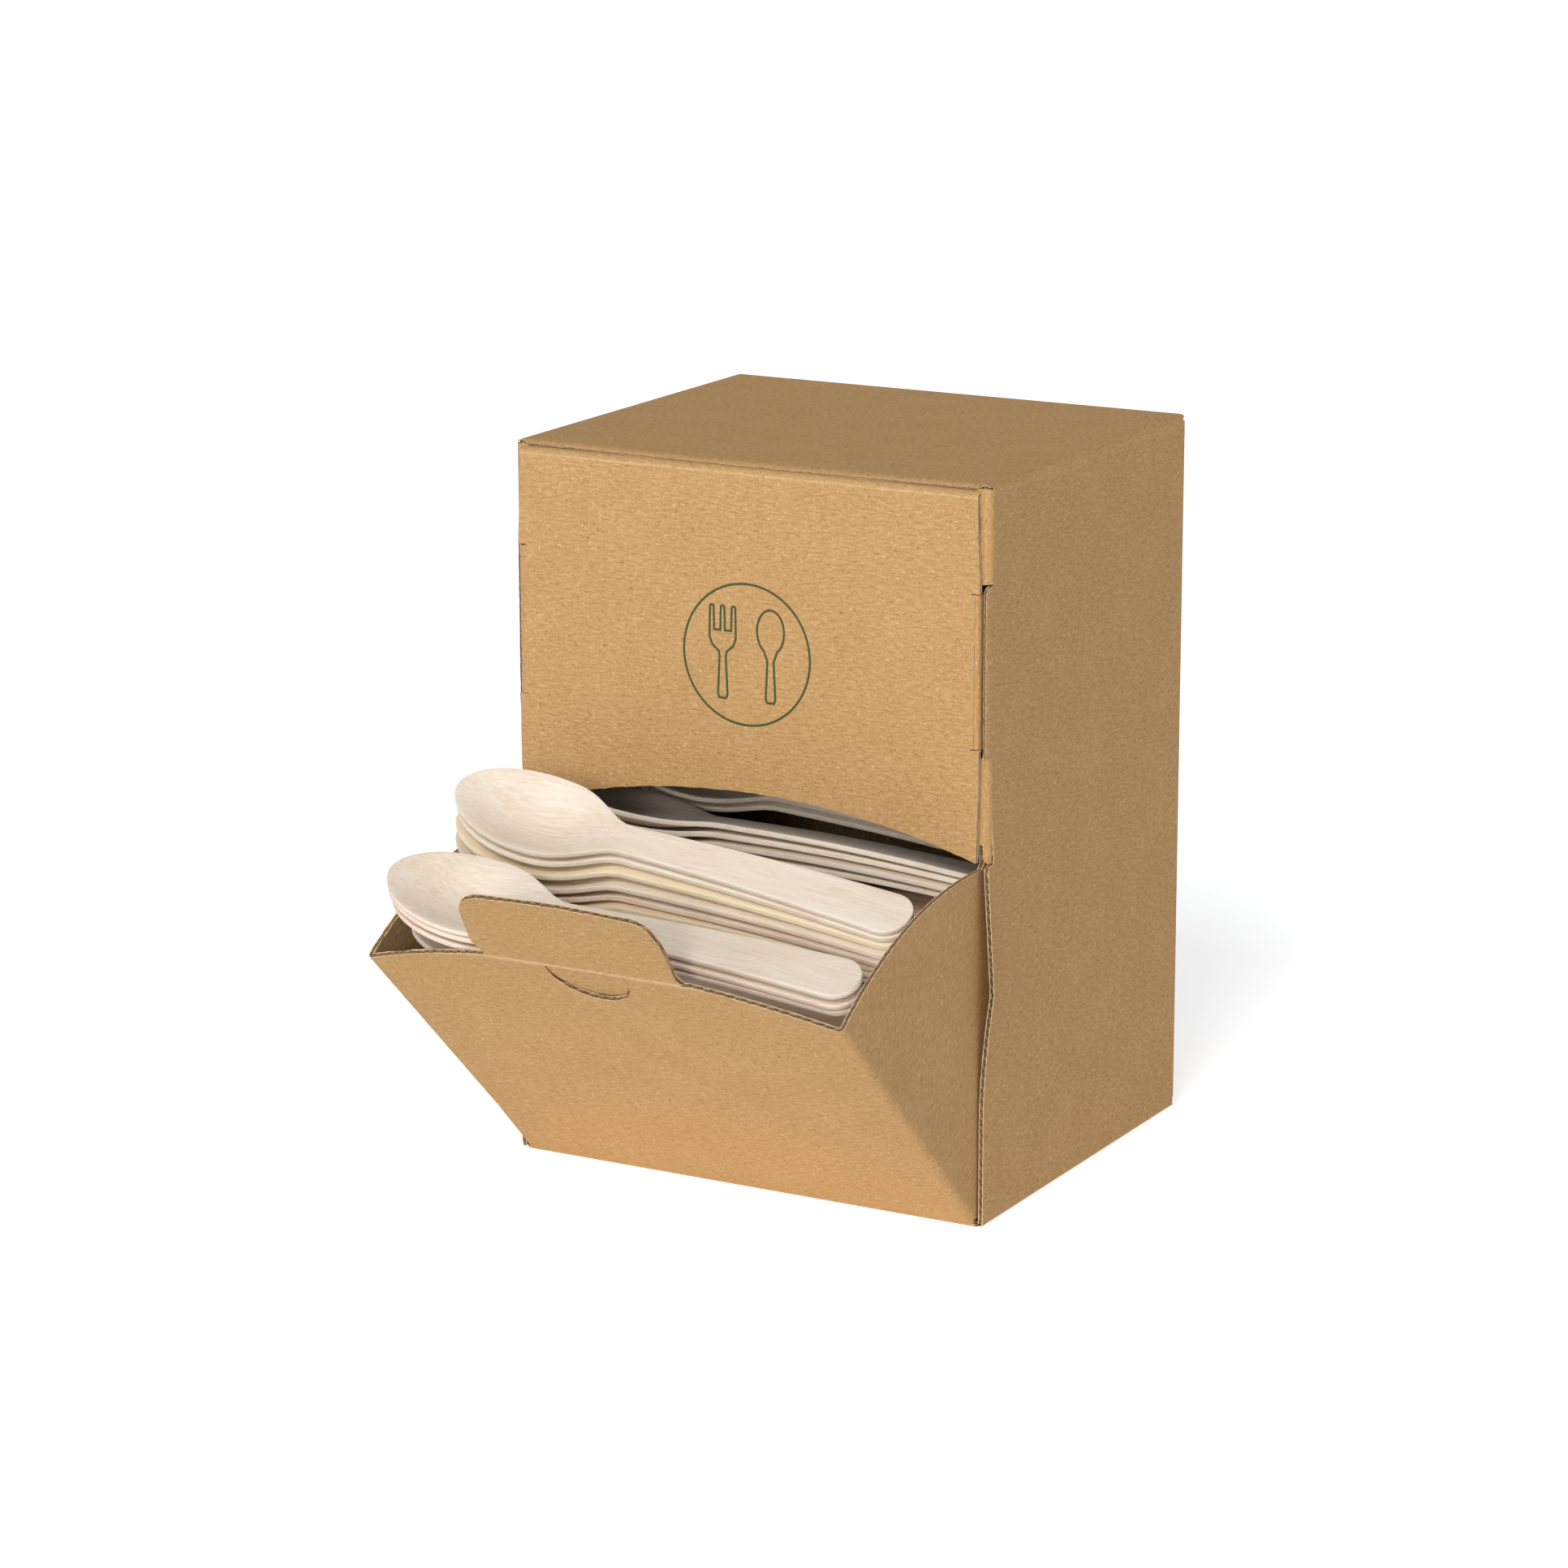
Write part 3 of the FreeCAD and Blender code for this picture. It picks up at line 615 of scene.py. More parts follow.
def rearDustFlap(name, node, side):
    def place(a, b, w):
        along, depth = foldOver(b, w, 0.0)
        return side * (halfWidth - depth), halfDepth - inset + along, a

    outline = [(4.0, 0.0), (235.0, 0.0), (235.0, 3.2), (232.6, 3.8), (231.0, flapEnd), (6.0, flapEnd)]
    cutBoard(name, node, "carton", rounded(outline, {4: 6.0, 5: 6.0}), place, "b", rows=foldRows,
             frayed=lambda a, b: b > 6)


rearDustFlap("rear_flap_right", "rear_dust_flap_right", 1)
rearDustFlap("rear_flap_left", "rear_dust_flap_left", -1)

seam = {"front": -68.0, "rear": 40.0, "outer": -82.6, "inner": -45.4, "corner": 8.0}
seamOutline = rounded(rectangle((seam["front"], seam["outer"]), (seam["rear"], seam["inner"])),
                      {2: seam["corner"], 3: seam["corner"]})
cutBoard("seam_flap", "glue_flap", "carton", seamOutline,
         lambda a, b, w: (b, a, w + boardStock["thickness"]), "a", frayed=lambda a, b: b > -80)
print("top, bottom and rear")


# Upper front: the panel with its arch, its tuck flap, lock ears and the dust flaps behind it

upperFront = {
    "left": -halfWidth + 1.9,
    "right": halfWidth - 2.6,
    "archEnd": 118.5,
    "archRise": 13.0,
    "slit": 3.0,
    "slitGap": 0.4,
    "earFold": 1.8,
    "earReach": 18.0,
    "tuckReach": 31.0,
    "tuckSide": 79.4,
    "flapLow": 118.0,
    "flapTop": 233.2,
    "swell": 0.7,
    "swellHeight": 150.0,
    "swellWidth": 190.0,
}
frontTop = carton["tuckTop"] - radius
tuckEnd = quarterFold + upperFront["tuckReach"] - radius


def frontEdge(side):
    # the panel's side edge, with the ear's fold between the slits
    edge = upperFront["right" if side > 0 else "left"]
    fold, gap = upperFront["earFold"], upperFront["slitGap"] / 2
    low, high, slit = carton["lockLow"], carton["lockHigh"], upperFront["slit"]
    points = [(0.8, upperFront["archEnd"]), (0.3, 135),
              (0.0, low - gap), (slit, low - gap), (slit, low + gap), (fold, low + gap),
              (fold, high - gap), (slit, high - gap), (slit, high + gap), (0.0, high + gap),
              (0.7, 218), (1.0, frontTop)]
    return [(edge - side * dx, z) for dx, z in points]


def frontSwell(x, z):
    # the panel bellies out a little between its fold and its free lower edge
    up = np.sin(np.pi * np.clip((frontTop - z) / upperFront["swellHeight"], 0, 1))
    return upperFront["swell"] * up * np.cos(np.pi * x / upperFront["swellWidth"])


def frontPlace(a, b, w):
    return a, -halfDepth + w - frontSwell(a, b), b


rightEdge, leftEdge = frontEdge(1), frontEdge(-1)
crown = upperFront["archEnd"] + upperFront["archRise"]
arch = arcThrough(leftEdge[0], (0.0, crown), rightEdge[0], 60)
frontOutline = arch[:-1] + rightEdge + leftEdge[:0:-1]
cutBoard("front_board", "upper_front_panel", "carton", frontOutline, frontPlace, "b",
         rows=[(1, [frontTop - 2.0, frontTop - 1.2, frontTop - 0.6])],
         frayed=lambda a, b: (b < 232) & ((b < 150) | (b > 205) | (abs(a) > 79)))

# Print: a generic fork and spoon in a ring, in a film of ink
printed = {
    "centre": (1.0, 176.0),
    "ring": 23.0,
    "line": 0.75,
    "film": 0.03,
    "reach": 15.5,  # half the height of the fork and the spoon
    "apart": 8.6,  # of each from the middle
    "clear": 0.01,  # between the film and the board
}
inkGreen, tree, shader = newMaterial("ink_green")
flat = addNode(tree, "Attribute", attribute_name="flat").outputs["Vector"]
wear = ramp(tree, noiseAt(tree, flat, 2400, 3.0), 0.35, 0.7)
tree.links.new(tint(tree, wear, linear(52, 68, 36), linear(76, 86, 50)), shader.inputs["Base Color"])
shader.inputs["Roughness"].default_value = 0.75


def mirrored(points):
    # the same points on the other side of the middle, in reverse order
    return [(-x, z) for x, z in reversed(points)]


def forkAndSpoon():
    # plain upright outlines: a round-ended spoon and a three-pronged fork
    reach, apart = printed["reach"], printed["apart"]
    handle = [(1.5, reach - 17.0), (2.1, -reach + 2.0), (1.5, -reach + 0.5)]
    bowl = [(5.2 * math.sin(t), reach - 7.4 + 7.4 * math.cos(t)) for t in np.linspace(-2.6, 2.6, 36)]
    spoon = bowl + handle + mirrored(handle)
    prongs = []
    for x in (-3.9, 0.0, 3.9):
        prongs += [(x - 1.2, reach - 8.0), (x - 1.0, reach - 0.6), (x, reach), (x + 1.0, reach - 0.6),
                   (x + 1.2, reach - 8.0)]
    side = [(5.1, reach - 11.0), (4.0, reach - 13.6), (1.7, reach - 15.4)] + handle
    fork = prongs + side + mirrored(side)
    return [[(x - apart, z) for x, z in fork], [(x + apart, z) for x, z in spoon]]


def printedMark():
    turns = np.linspace(0, 2 * math.pi, 97)[:-1]
    ring = [(printed["ring"] * math.sin(t), printed["ring"] * math.cos(t)) for t in turns]
    bm = bmesh.new()
    for shape in [ring] + forkAndSpoon():
        face = bm.faces.new([bm.verts.new((x, z, 0.0)) for x, z in shape])
        face.normal_update()
        bmesh.ops.inset_individual(bm, faces=[face], thickness=printed["line"], use_even_offset=True)
        bmesh.ops.delete(bm, geom=[face], context="FACES_ONLY")
    thicken(bm, bm.faces[:], -printed["film"])
    inOrder(bm)
    bmesh.ops.recalc_face_normals(bm, faces=bm.faces)
    made = meshObject("printed_mark", bm)
    data = made.data
    a, b, w = pointsOf(data).T.copy()
    setAttribute(data, "flat", "FLOAT_VECTOR", np.stack([a, b, w], 1) * mm)
    middleX, middleZ = printed["centre"]
    movePoints(data, *frontPlace(a + middleX, b + middleZ, w - printed["clear"]))
    data.materials.append(inkGreen)
    outward(data)
    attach(made, "carton")


printedMark()


def tuckPlace(a, b, w):
    along, depth = foldOver(b, w, 0.0)
    return a, -halfDepth + depth - frontSwell(a, np.full_like(a, frontTop)), frontTop + along


tuckSide = upperFront["tuckSide"]
tuckOutline = [(leftEdge[-1][0], 0.0), (rightEdge[-1][0], 0.0), (rightEdge[-1][0], 3.4), (tuckSide, 4.2),
               (tuckSide, tuckEnd), (-tuckSide, tuckEnd), (-tuckSide, 4.2), (leftEdge[-1][0], 3.4)]
tuckOutline = rounded(tuckOutline, {4: 8.0, 5: 8.0})
cutBoard("front_tuck", "front_tuck_flap", "carton", tuckOutline, tuckPlace, "b",
         rows=[(1, steps(0, quarterFold, 8))], frayed=lambda a, b: b > 1,
         worn=lambda a, b, w: 0.7 * np.exp(-((b - 0.5) / 0.35) ** 2) * (w < 0.3))


def lockEar(name, node, side):
    edge = upperFront["right" if side > 0 else "left"]
    fold, gap = upperFront["earFold"], upperFront["slitGap"] / 2
    arc = fold * math.pi / 2
    end = arc + boardStock["thickness"] + upperFront["earReach"] - fold
    low, high = carton["lockLow"] + gap, carton["lockHigh"] - gap

    def place(a, b, w):
        along, depth = foldOver(b, w, 0.0, fold)
        return edge - side * (fold - along), -halfDepth + depth, a

    cutBoard(name, node, "carton", rounded(rectangle((low, 0.0), (high, end)), {2: 6.0, 3: 6.0}), place, "b",
             rows=[(1, steps(0, arc, 6))], frayed=lambda a, b: b > 0.2)


lockEar("ear_right", "lock_ear_right", 1)
lockEar("ear_left", "lock_ear_left", -1)


def frontDustFlap(name, node, side):
    low, high = upperFront["flapLow"], upperFront["flapTop"]
    windowLow = carton["lockLow"] - carton["lockMargin"] - carton["slip"]
    windowHigh = carton["lockHigh"] + carton["lockMargin"] + carton["slip"]

    def place(a, b, w):
        along, depth = foldOver(b, w, 0.0)
        return side * (halfWidth - depth), -halfDepth + inset - along, a

    outline = [(low, 0.0), (low, 1.6), (low + 0.6, 2.6), (low + 2.0, 3.3), (low + 6.0, 3.4),
               (low + 13.5, flapEnd), (high, flapEnd), (high, 6.4), (235.6, 6.2), (235.6, 0.0),
               (windowHigh, 0.0), (windowHigh, 5.7), (windowLow, 5.7), (windowLow, 0.0)]
    cutBoard(name, node, "carton", rounded(outline, {5: 5.0}), place, "b", rows=foldRows,
             frayed=lambda a, b: b > 0.4)


frontDustFlap("front_flap_right", "front_dust_flap_right", 1)
frontDustFlap("front_flap_left", "front_dust_flap_left", -1)
print("upper front")


# Hopper: a runs across, b up the slope from the hinge

hopper = {
    "angle": 45.0,
    "hingeY": -72.2,
    "hingeZ": 0.8,
    "half": 82.6,
    "tip": 122.5,
    "rise": 18.0,
    "splayStart": 20.0,
    "leftSplay": 4.3,
    "rightSplay": -1.0,
    "throat": 115.2,
    "bow": 2.4,
    "hookHeight": 127.0,
    "hookDepth": 11.0,
    "flapFace": -71.1,
    "swell": 0.9,
    "swellLength": 135.0,
    "swellWidth": 168.0,
}
slant = math.radians(hopper["angle"])
splayFrom = hopper["splayStart"] / math.sin(slant)


def hopperEdge(b, side):
    # half width of the hopper at a slope length
    splay = hopper["rightSplay" if side > 0 else "leftSplay"]
    return hopper["half"] + splay * np.clip((b - splayFrom) / (hopper["tip"] - splayFrom), 0, 2)


def tipped(x, b, depth):
    # from slope length and depth behind the outer face to the open hopper's place
    inward = depth - halfBoard
    y = hopper["hingeY"] - b * math.sin(slant) + inward * math.cos(slant)
    z = hopper["hingeZ"] + b * math.cos(slant) + inward * math.sin(slant)
    return x, y, z


def hopperSwell(a, b):
    # the front and its tab belly out together
    up = np.sin(np.pi * np.clip(b / hopper["swellLength"], 0, 1))
    return hopper["swell"] * up * np.cos(np.pi * np.clip(a / hopper["swellWidth"], -0.5, 0.5))


def hopperPlace(a, b, w):
    rightX, rightDepth = foldOver(a, w, hopperEdge(b, 1) - radius)
    leftX, leftDepth = foldOver(-a, w, hopperEdge(b, -1) - radius)
    x = np.where(a > 0, rightX, -leftX)
    depth = np.where(a > 0, rightDepth, leftDepth)
    return tipped(x, b, depth - hopperSwell(a, b))


thumb = {
    "middle": -1.6,
    "half": 34.7,
    "score": 137.3,
    "tongueHalf": 13.3,
    "tongueDepth": 16.5,
    "dip": 1.7,  # of the tongue's end, inwards
    "gap": 0.3,
}
score = thumb["score"]


def sideAt(b, side):
    return float(hopperEdge(np.array(float(b)), side)) - radius + halfFold


def tongueShape(extra):
    middle, half = thumb["middle"], thumb["tongueHalf"] + extra
    return arcThrough((middle - half, score), (middle, score - thumb["tongueDepth"] - extra),
                      (middle + half, score), 28)


tipLeft = (-sideAt(hopper["tip"], -1), hopper["tip"])
tipRight = (sideAt(hopper["tip"], 1), hopper["tip"])
topArc = arcThrough(tipRight, (0.0, hopper["tip"] + hopper["rise"]), tipLeft, 60)
bayLeft = thumb["middle"] - thumb["half"] - thumb["gap"]
bayRight = thumb["middle"] + thumb["half"] + thumb["gap"]
scoreGap = 0.5
rightOfTab = [p for p in topArc if p[0] > bayRight]
leftOfTab = [p for p in topArc if p[0] < bayLeft]
creaseEnd = 1.3
hopperOutline = [(-hopper["half"], creaseEnd), (hopper["half"], creaseEnd), (sideAt(splayFrom, 1), splayFrom)]
hopperOutline += rightOfTab
hopperOutline += [(bayRight, score - scoreGap), (bayLeft, score - scoreGap)]
hopperOutline += leftOfTab + [(-sideAt(splayFrom, -1), splayFrom)]
edgeRows = steps(-86.0, -79.0, 10) + steps(78.0, 83.0, 8)
tongueHole = tongueShape(thumb["gap"] + 0.25) + [(thumb["middle"], score + 4)]
cutBoard("hopper_front", "hopper_front_panel", "hopper", hopperOutline, hopperPlace, "b",
         rows=[(0, edgeRows), (1, [score - 3.0, score - 2.0])], holes=[tongueHole],
         frayed=lambda a, b: (b > 3) & (abs(a) < 79),
         worn=lambda a, b, w: 0.8 * np.exp(-((b - score + 0.5) / 0.5) ** 2) * (w < 0.3))


def inHopper(y, z):
    # slope length and depth of a point of the open hopper
    dy, dz = y - hopper["hingeY"], z - hopper["hingeZ"]
    along = dy * math.cos(slant) + dz * math.sin(slant) + halfBoard
    return along, -dy * math.sin(slant) + dz * math.cos(slant)


def hopperWing(name, node, side):
    thick = boardStock["thickness"]
    hookFront = hopper["flapFace"] + 1.9
    hookDepth = hopper["hookDepth"]
    throatZ = hopper["hingeZ"] + hopper["throat"]
    bulge = thick * (1 - math.sqrt(0.5))
    crest = hopper["hookHeight"]
    reach = hopper["throat"] + hopper["bow"]
    middle = (hopper["hingeY"] - reach * math.sin(slant / 2), hopper["hingeZ"] + reach * math.cos(slant / 2))
    foldSide = radius - halfFold
    tip = (foldSide, hopper["tip"])
    arc = arcThrough(tip, inHopper(*middle), inHopper(hopper["flapFace"], throatZ), 40)
    corners = [(hookFront, throatZ + thick), (hookFront, crest - thick), (hookFront + bulge, crest - bulge),
               (hookFront + thick, crest), (hookFront + hookDepth, crest - hookDepth / 2),
               (hookFront + hookDepth / 3, 4.8)]
    outline = [(foldSide, 3.2)] + arc + [inHopper(*p) for p in corners] + [(3.0, 1.2)]
    splay = hopper["rightSplay" if side > 0 else "leftSplay"]
    splayRun = hopper["tip"] * math.sin(slant) - hopper["splayStart"]

    def place(a, b, w):
        # a is the depth behind the hopper's outer face
        along, depth = foldOver(-a, w, -radius)
        run = hopper["hingeY"] - hopper["splayStart"] - tipped(0.0, b, -along)[1]
        edge = hopper["half"] + splay * np.clip(run / splayRun, 0, 2)
        return tipped(side * (edge - depth), b, -along)

    cutBoard(name, node, "hopper", outline, place, "b",
             rows=[(0, steps(foldSide, radius, 4)), (1, [splayFrom])],
             frayed=lambda a, b: (a > 1) & (b > 6))


hopperWing("wing_right", "hopper_wing_right", 1)
hopperWing("wing_left", "hopper_wing_left", -1)

# the tab's corners above the score; its tongue hangs below
tabPoints = [(-36.1, 0.5), (32.4, 0.5), (31.8, 3.2), (35.0, 24.0), (33.8, 35.6), (4.0, 38.2), (-30.5, 36.6),
             (-37.8, 9.0)]
tabCorners = {2: 2.0, 3: 12.0, 4: 6.0, 5: 120.0, 6: 13.0, 7: 12.0}
tabOutline = rounded([(x, score + h) for x, h in tabPoints], tabCorners, 9)
tabOutline = tongueShape(0.0) + tabOutline[1:] + tabOutline[:1]


def tabPlace(a, b, w):
    dip = thumb["dip"] * np.clip((score - b) / thumb["tongueDepth"], 0, 1) ** 1.2
    return tipped(a, b, w + dip - hopperSwell(a, b))


cutBoard("tab", "thumb_tab", "thumb_tab", tabOutline, tabPlace, "b",
         rows=[(1, [score + 0.8, score + 1.6])], frayed=lambda a, b: abs(b - score) > 1,
         worn=lambda a, b, w: 0.8 * np.exp(-((b - score - 0.4) / 0.5) ** 2) * (w < 0.3))

crease = {"ridge": 0.22, "length": 2.6, "half": 82.4}


def scorePlace(a, b, w):
    # the outer liner stands up a little along the score
    ridge = crease["ridge"] * np.cos(np.pi * np.clip((b - score) / scoreGap, -1, 1) / 2) * (w < 0.3)
    return tipped(a, b, w - ridge - hopperSwell(a, b))


def hingePlace(a, b, w):
    # from the bottom's front edge round to the open hopper's lower edge
    share = b / crease["length"]
    turnY = hopper["hingeY"] + math.tan(slant / 2) * (w - halfBoard)
    endY, endZ = tipped(0.0, creaseEnd, w)[1:]
    first, second, third = (1 - share) ** 2, 2 * share * (1 - share), share ** 2
    y = -bottomReach * first + turnY * second + endY * third
    return a, y, w * (first + second) + endZ * third


scoreRows = steps(score - scoreGap, score + scoreGap, 6)
scoreOutline = rectangle((bayLeft - 0.4, scoreRows[0]), (bayRight - 0.6, scoreRows[-1]))
scoreEnds = [tipped(0.0, scoreRows[i], halfBoard) for i in (0, -1)]
cutBoard("score_crease", "thumb_tab", "hopper", scoreOutline, scorePlace, "b", rows=[(1, scoreRows)],
         worn=lambda a, b, w: 0.85 * (w < 0.3), bend=("thumb_tab", *scoreEnds))

hingeOutline = rectangle((-crease["half"], 0.0), (crease["half"], crease["length"]))
hingeEnds = [(0.0, -bottomReach, halfBoard), tipped(0.0, creaseEnd, halfBoard)]
cutBoard("hinge_crease", "hopper_front_panel", "carton", hingeOutline, hingePlace, "b",
         rows=[(1, steps(0.2, 2.4, 8))], worn=lambda a, b, w: 0.3 * (w < 0.3),
         bend=("hopper", *hingeEnds))
print("hopper")


# Spoons, pressed from veneer: s runs from the bowl's tip to the handle's end

spoonCut = {
    "length": 160.0,
    "thickness": 1.8,
    "bowlHalf": 17.0,
    "bowlWidest": 28.0,
    "bowlFullness": 1.4,
    "neckAt": 60.0,
    "neckHalf": 6.0,
    "handleHalf": 9.0,
    "handleRound": 8.0,
    "cupDepth": 6.0,
    "cupCentre": 28.0,
    "cupLength": 35.0,
    "cupWidth": 21.5,
    "camber": 1.2,
    "lift": 5.0,
    "fine": (64, 14, 0.28),  # faces along, faces across and rounding of the rim
    "coarse": (40, 8, 0.3),
}


def spoonHalf(s):
    cut = spoonCut
    bowl = cut["bowlHalf"] * np.sqrt(np.clip(1 - ((cut["bowlWidest"] - s) / cut["bowlWidest"]) ** 2, 0, 1))
    turn = np.clip((s - cut["bowlWidest"]) / (cut["neckAt"] - cut["bowlWidest"]), 0, 1) ** cut["bowlFullness"]
    ease = 0.5 + 0.5 * np.cos(np.pi * turn)
    neck = cut["neckHalf"] + (cut["bowlHalf"] - cut["neckHalf"]) * ease
    handleLength = cut["length"] - cut["neckAt"]
    handle = cut["neckHalf"] + (cut["handleHalf"] - cut["neckHalf"]) * (s - cut["neckAt"]) / handleLength
    over = np.clip(s - cut["length"] + cut["handleRound"], 0, cut["handleRound"]) / cut["handleRound"]
    handle = handle * np.sqrt(1 - over ** 2)
    return np.where(s < cut["bowlWidest"], bowl, np.where(s < cut["neckAt"], neck, handle))


def spoonUnder(s, y):
    cut = spoonCut
    reach = ((s - cut["cupCentre"]) / cut["cupLength"]) ** 2 + (y / cut["cupWidth"]) ** 2
    cup = np.where(reach < 1, cut["cupDepth"] * (1 - reach) ** 2, 0)
    rise = np.clip((s - cut["neckAt"]) / (cut["length"] - cut["neckAt"]), 0, 1)
    lift = cut["lift"] * np.clip(1 - s / cut["neckAt"], 0, 1) ** 2
    return cut["camber"] * np.sin(np.pi * rise) - cup + lift


def spoonBlank(stations, across, edge):
    bm = bmesh.new()
    bmesh.ops.create_grid(bm, x_segments=stations, y_segments=across, size=1)
    for v in bm.verts:
        s = spoonCut["length"] / 2 * (1 + math.sin(v.co.x * math.pi / 2))
        y = v.co.y * float(spoonHalf(np.array(s)))
        v.co = (s - spoonCut["length"] / 2, y, float(spoonUnder(s, y)))
    bmesh.ops.remove_doubles(bm, verts=bm.verts, dist=0.001)
    thicken(bm, bm.faces[:], spoonCut["thickness"])
    bmesh.ops.recalc_face_normals(bm, faces=bm.faces)
    own = shapeFrame(*trianglesOf(bm))
    rim = [e for e in bm.edges if 1.0 < e.calc_face_angle(0) < 2.2]
    rim = [e for e in rim if any(abs(f.normal.z) < 0.5 for f in e.link_faces)]
    bmesh.ops.bevel(bm, geom=rim, offset=edge, segments=2, affect="EDGES", profile=0.5, material=-1)
    return bm, own


def trianglesOf(bm):
    loops = bm.calc_loop_triangles()
    return [np.array([t[k].vert.co[:] for t in loops]) for k in range(3)]


def shapeFrame(a, b, c):
    # a solid's own axes: long way towards the handle's end, across, and up
    area = np.linalg.norm(np.cross(b - a, c - a), axis=1) / 2
    centre = (a + b + c) / 3
    middle = (centre * area[:, None]).sum(0) / area.sum()
    spread = np.zeros((3, 3))
    for p in (a, b, c, centre):
        off = p - middle
        share = 0.75 if p is centre else 1 / 12
        spread += share * (off * area[:, None]).T @ off
    axes = np.linalg.eigh(spread)[1]
    longWay, up = axes[:, 2], axes[:, 0]
    reach = (centre - middle) @ longWay
    if (reach ** 3 * area).sum() < 0:
        longWay = -longWay
    if up[2] < 0:
        up = -up
    made = np.eye(4)
    made[:3, :3] = np.stack([longWay, np.cross(up, longWay), up], 1)
    made[:3, 3] = middle
    return made


def solidsOf(node):
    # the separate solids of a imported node, each as its triangles' corners in millimetres
    bm = bmesh.new()
    bm.from_mesh(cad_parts[node].data)
    bmesh.ops.remove_doubles(bm, verts=bm.verts, dist=1e-6)
    bmesh.ops.triangulate(bm, faces=bm.faces)
    left = set(bm.faces)
    found = []
    while left:
        group, edge = [], [left.pop()]
        while edge:
            face = edge.pop()
            group.append(face)
            for link in face.edges:
                for other in link.link_faces:
                    if other in left:
                        left.remove(other)
                        edge.append(other)
        corners = np.array([[v.co[:] for v in f.verts] for f in group]) / mm
        found.append((corners[:, 0], corners[:, 1], corners[:, 2]))
    bm.free()
    return sorted(found, key=lambda t: t[0][:, 2].mean())


spoonBlanks = {kind: spoonBlank(*spoonCut[kind]) for kind in ("fine", "coarse")}
spoonNumbers = itertools.count(1)


def laySpoons(name, node, body, material, kind, mood=None):
    blank, own = spoonBlanks[kind]
    joined = bmesh.new()
    grains, moods = [], []
    for solid in solidsOf(node):
        place = shapeFrame(*solid) @ np.linalg.inv(own)
        seed = next(spoonNumbers)
        copy = bpy.data.meshes.new("spoon_copy")
        blank.to_mesh(copy)
        co = pointsOf(copy)
        shift = np.array([(seed * 0.618) % 1, (seed * 0.414) % 1, (seed * 0.732) % 1])
        grains.append(co * mm + shift)
        moods.append(np.full(len(co), (seed * 0.618034 + 0.2) % 1 if mood is None else mood))
        copy.transform(Matrix(place.tolist()))
        joined.from_mesh(copy)
        bpy.data.meshes.remove(copy)
    made = meshObject(name, joined)
    data = made.data
    data.transform(Matrix.Scale(mm, 4))
    data.materials.append(material)
    setAttribute(data, "grain", "FLOAT_VECTOR", np.concatenate(grains))
    setAttribute(data, "mood", "FLOAT", np.concatenate(moods))
    outward(data)
    data.shade_smooth()
    data.set_sharp_from_angle(angle=math.radians(50))
    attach(made, body)
    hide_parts(node)


heap = [
    # node, body, veneer, mood from pale 0 to dark 1
    ("front_spoon_top", "front_spoon", birchCream, 0.35),
    ("front_spoon_b", "hopper", birchPink, 0.1),
    ("front_spoon_c", "hopper", birchPink, 0.3),
    ("front_spoon_d", "hopper", birchCream, 0.4),
    ("front_spoon_e", "hopper", birchPink, 0.6),
    ("middle_spoon_top", "middle_spoon", birchCream, 0.0),
    ("middle_spoon_b", "hopper", birchCream, 0.2),
    ("middle_spoon_c", "hopper", birchYellow, 0.2),
    ("middle_spoon_d", "hopper", birchCream, 0.6),
    ("middle_spoon_e", "hopper", birchPink, 0.6),
    ("middle_spoon_f", "hopper", birchYellow, 0.7),
    ("middle_spoon_g", "hopper", birchGrey, 0.8),
    ("middle_spoon_h", "hopper", birchPink, 1.0),
    ("back_spoon_top", "carton", birchCream, 0.1),
    ("back_spoon_b", "carton", birchCream, 0.0),
    ("back_spoon_c", "carton", birchCream, 0.0),
    ("back_spoon_d", "carton", birchCream, 0.2),
    ("loose_spoon_a", "carton", birchCream, 0.4),
    ("loose_spoon_b", "carton", birchCream, 0.1),
    ("loose_spoon_c", "carton", birchCream, 0.0),
]
for node, body, veneer, mood in heap:
    laySpoons(node.replace("_spoon", "_veneer_spoon"), node, body, veneer, "fine", mood)
buried = [
    ("hopper_spoons_low", "hopper"),
    ("hopper_spoons_mid", "hopper"),
    ("bed_column_front", "carton"),
    ("bed_column_middle", "carton"),
    ("bed_column_rear", "carton"),
    ("bed_column_back", "carton"),
]
for i, (node, body) in enumerate(buried):
    laySpoons(node + "_veneer", node, body, (birchPink, birchCream)[i % 2], "coarse")
for blank in spoonBlanks.values():
    blank[0].free()
print("spoons")


# Stage, light and camera


def seenShare(tree):
    # 1 for rays straight from the camera or by way of a mirror or glass
    rays = addNode(tree, "LightPath").outputs
    direct = calc(tree, "MAXIMUM", rays["Is Camera Ray"], rays["Is Glossy Ray"])
    return calc(tree, "MAXIMUM", direct, rays["Is Transmission Ray"])


bpy.ops.mesh.primitive_plane_add(size=30, location=(0, 0, 0))
floor = bpy.context.object
floor.name = "floor"
floorMaterial, tree, shader = newMaterial("floor_pale")
shader.inputs["Base Color"].default_value = (0.84, 0.86, 0.89, 1)
shader.inputs["Roughness"].default_value = 0.9
shader.inputs["Specular IOR Level"].default_value = 0.0
strength = ramp(tree, seenShare(tree), 0, 1, 0.3, 0.7)
glow = addNode(tree, "Emission", {"Color": (1, 1, 1, 1), "Strength": strength})
both = addNode(tree, "AddShader", {0: shader.outputs[0], 1: glow.outputs[0]})
tree.links.new(both.outputs[0], tree.nodes["Material Output"].inputs["Surface"])
floor.data.materials.append(floorMaterial)

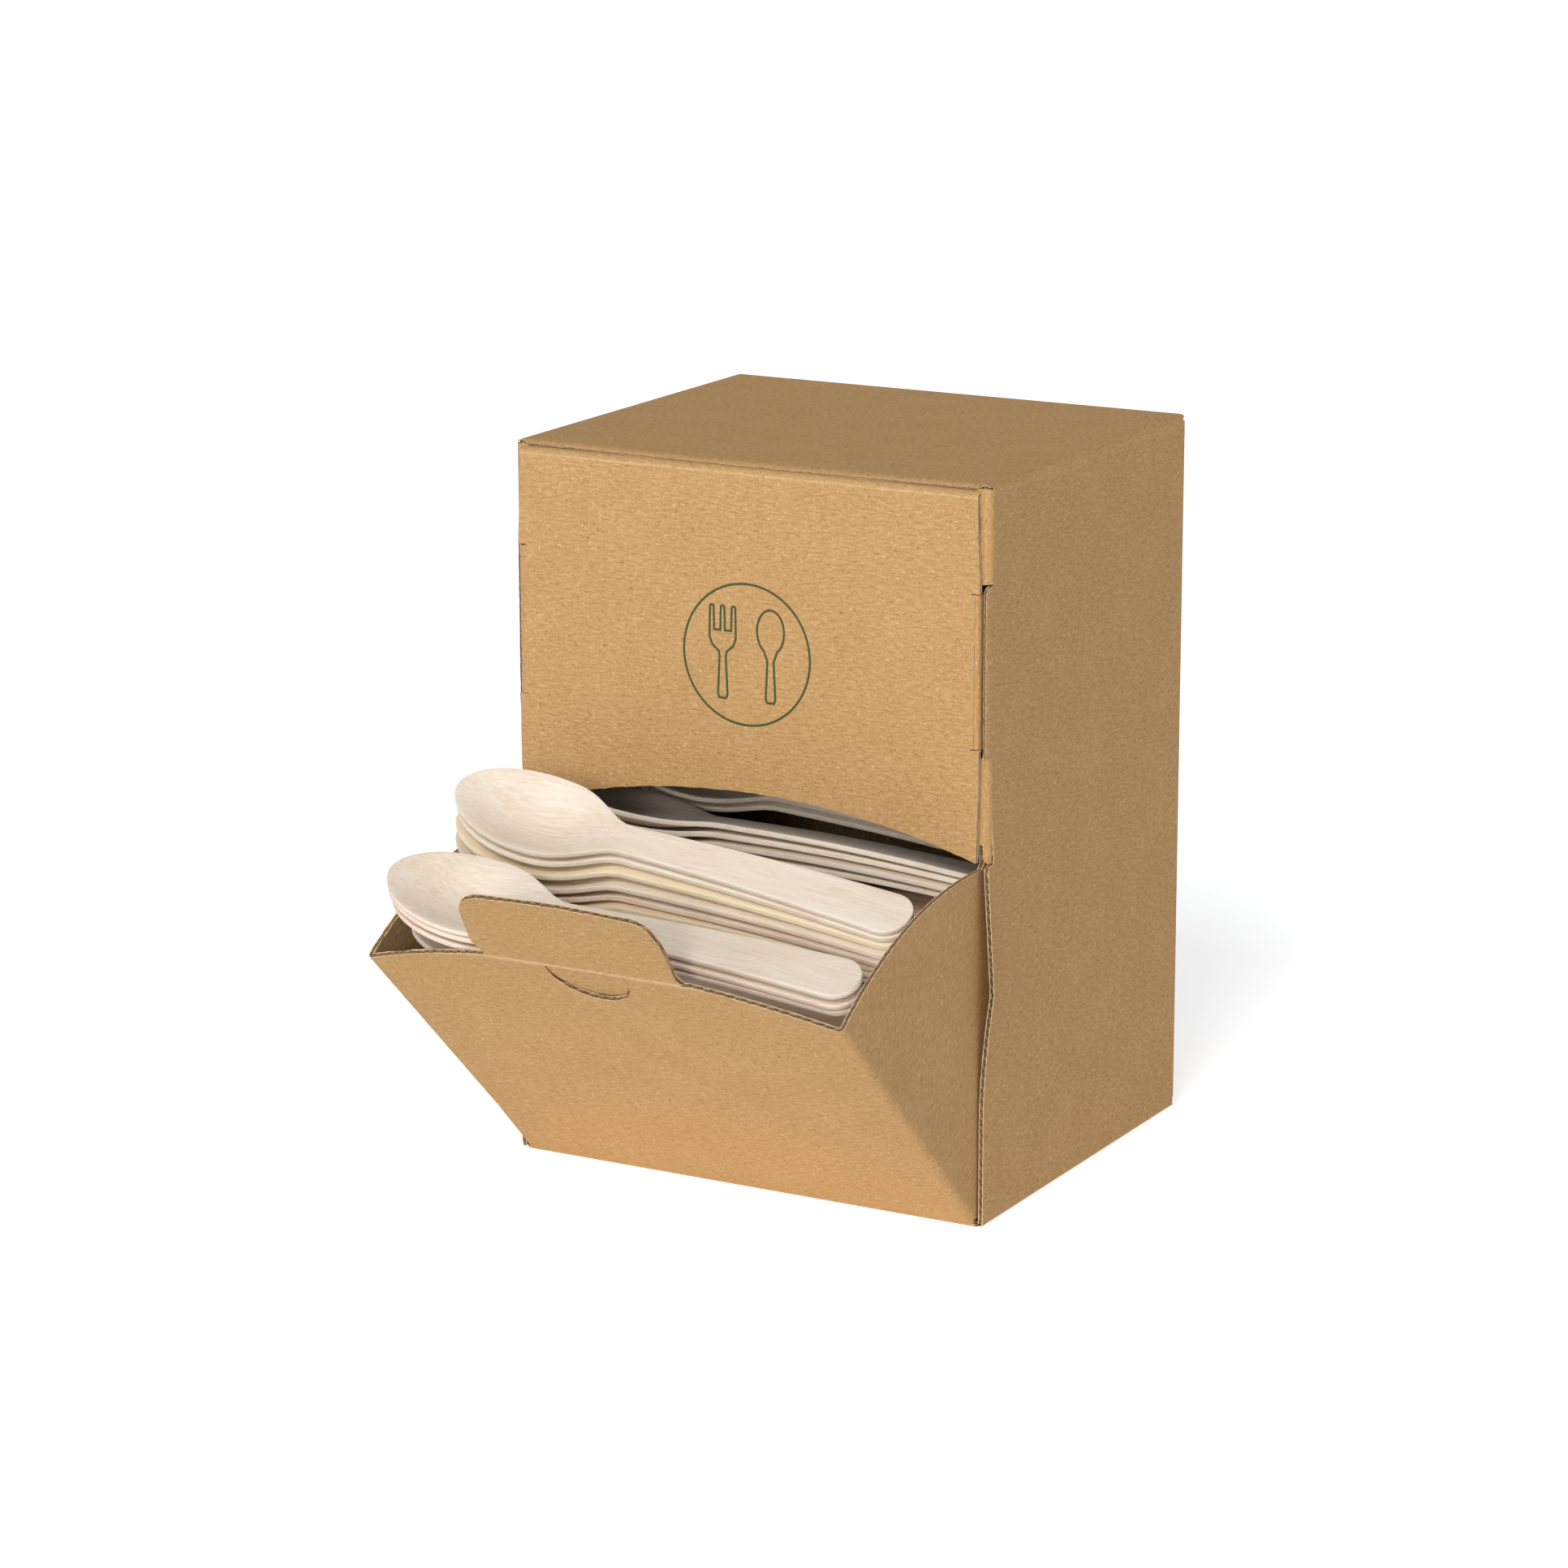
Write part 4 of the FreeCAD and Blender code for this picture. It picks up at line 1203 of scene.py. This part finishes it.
studio = {
    "ambient": (0.15, 0.156, 0.167),
    "lamps": [
        # name, direction it comes from, strength, softness, colour
        ("front", (0.26, -0.93, 0.22), 0.8, 14.0, (1.0, 0.975, 0.93)),
        ("left", (-0.42, -0.87, 0.27), 0.4, 20.0, (1.0, 0.975, 0.93)),
        ("upper", (0.10, -0.76, 0.64), 1.4, 26.0, (1.0, 0.97, 0.92)),
        ("right", (0.95, -0.22, 0.22), 0.25, 60.0, (1.0, 0.97, 0.92)),
    ],
}
world = bpy.data.worlds.new("studio")
bpy.context.scene.world = world
world.use_nodes = True
tree = world.node_tree
ambient = tree.nodes["Background"]
ambient.inputs["Color"].default_value = (*studio["ambient"], 1)
white = addNode(tree, "Background", {"Color": (1, 1, 1, 1), "Strength": 1.0})
mixed = addNode(tree, "MixShader", {0: seenShare(tree), 1: ambient.outputs[0], 2: white.outputs[0]})
tree.links.new(mixed.outputs[0], tree.nodes["World Output"].inputs["Surface"])

for name, direction, strength, softness, colour in studio["lamps"]:
    lamp = bpy.data.lights.new(name, "SUN")
    lamp.energy = strength
    lamp.color = colour
    lamp.angle = math.radians(softness)
    made = bpy.data.objects.new(name, lamp)
    made.rotation_mode = "QUATERNION"
    made.rotation_quaternion = Vector(direction).to_track_quat("Z", "Y")
    bpy.context.scene.collection.objects.link(made)

view = {
    "azimuth": 29.07,
    "elevation": 14.185,
    "roll": -0.12,
    "lens": 115.75,
    "sensor": 36.0,
    "place": (0.76003, -1.41505, 0.52386),
}
camera = bpy.data.cameras.new("camera")
camera.lens = view["lens"]
camera.sensor_width = view["sensor"]
camera.clip_start = 0.05
camera.clip_end = 60.0
cameraObject = bpy.data.objects.new("camera", camera)
turn = Matrix.Rotation(math.radians(view["azimuth"]), 4, "Z")
tilt = Matrix.Rotation(math.radians(90 - view["elevation"]), 4, "X")
roll = Matrix.Rotation(math.radians(view["roll"]), 4, "Z")
cameraObject.matrix_world = Matrix.Translation(view["place"]) @ turn @ tilt @ roll
bpy.context.scene.collection.objects.link(cameraObject)
bpy.context.scene.camera = cameraObject
bpy.context.scene.view_settings.view_transform = "Standard"

print("stage")
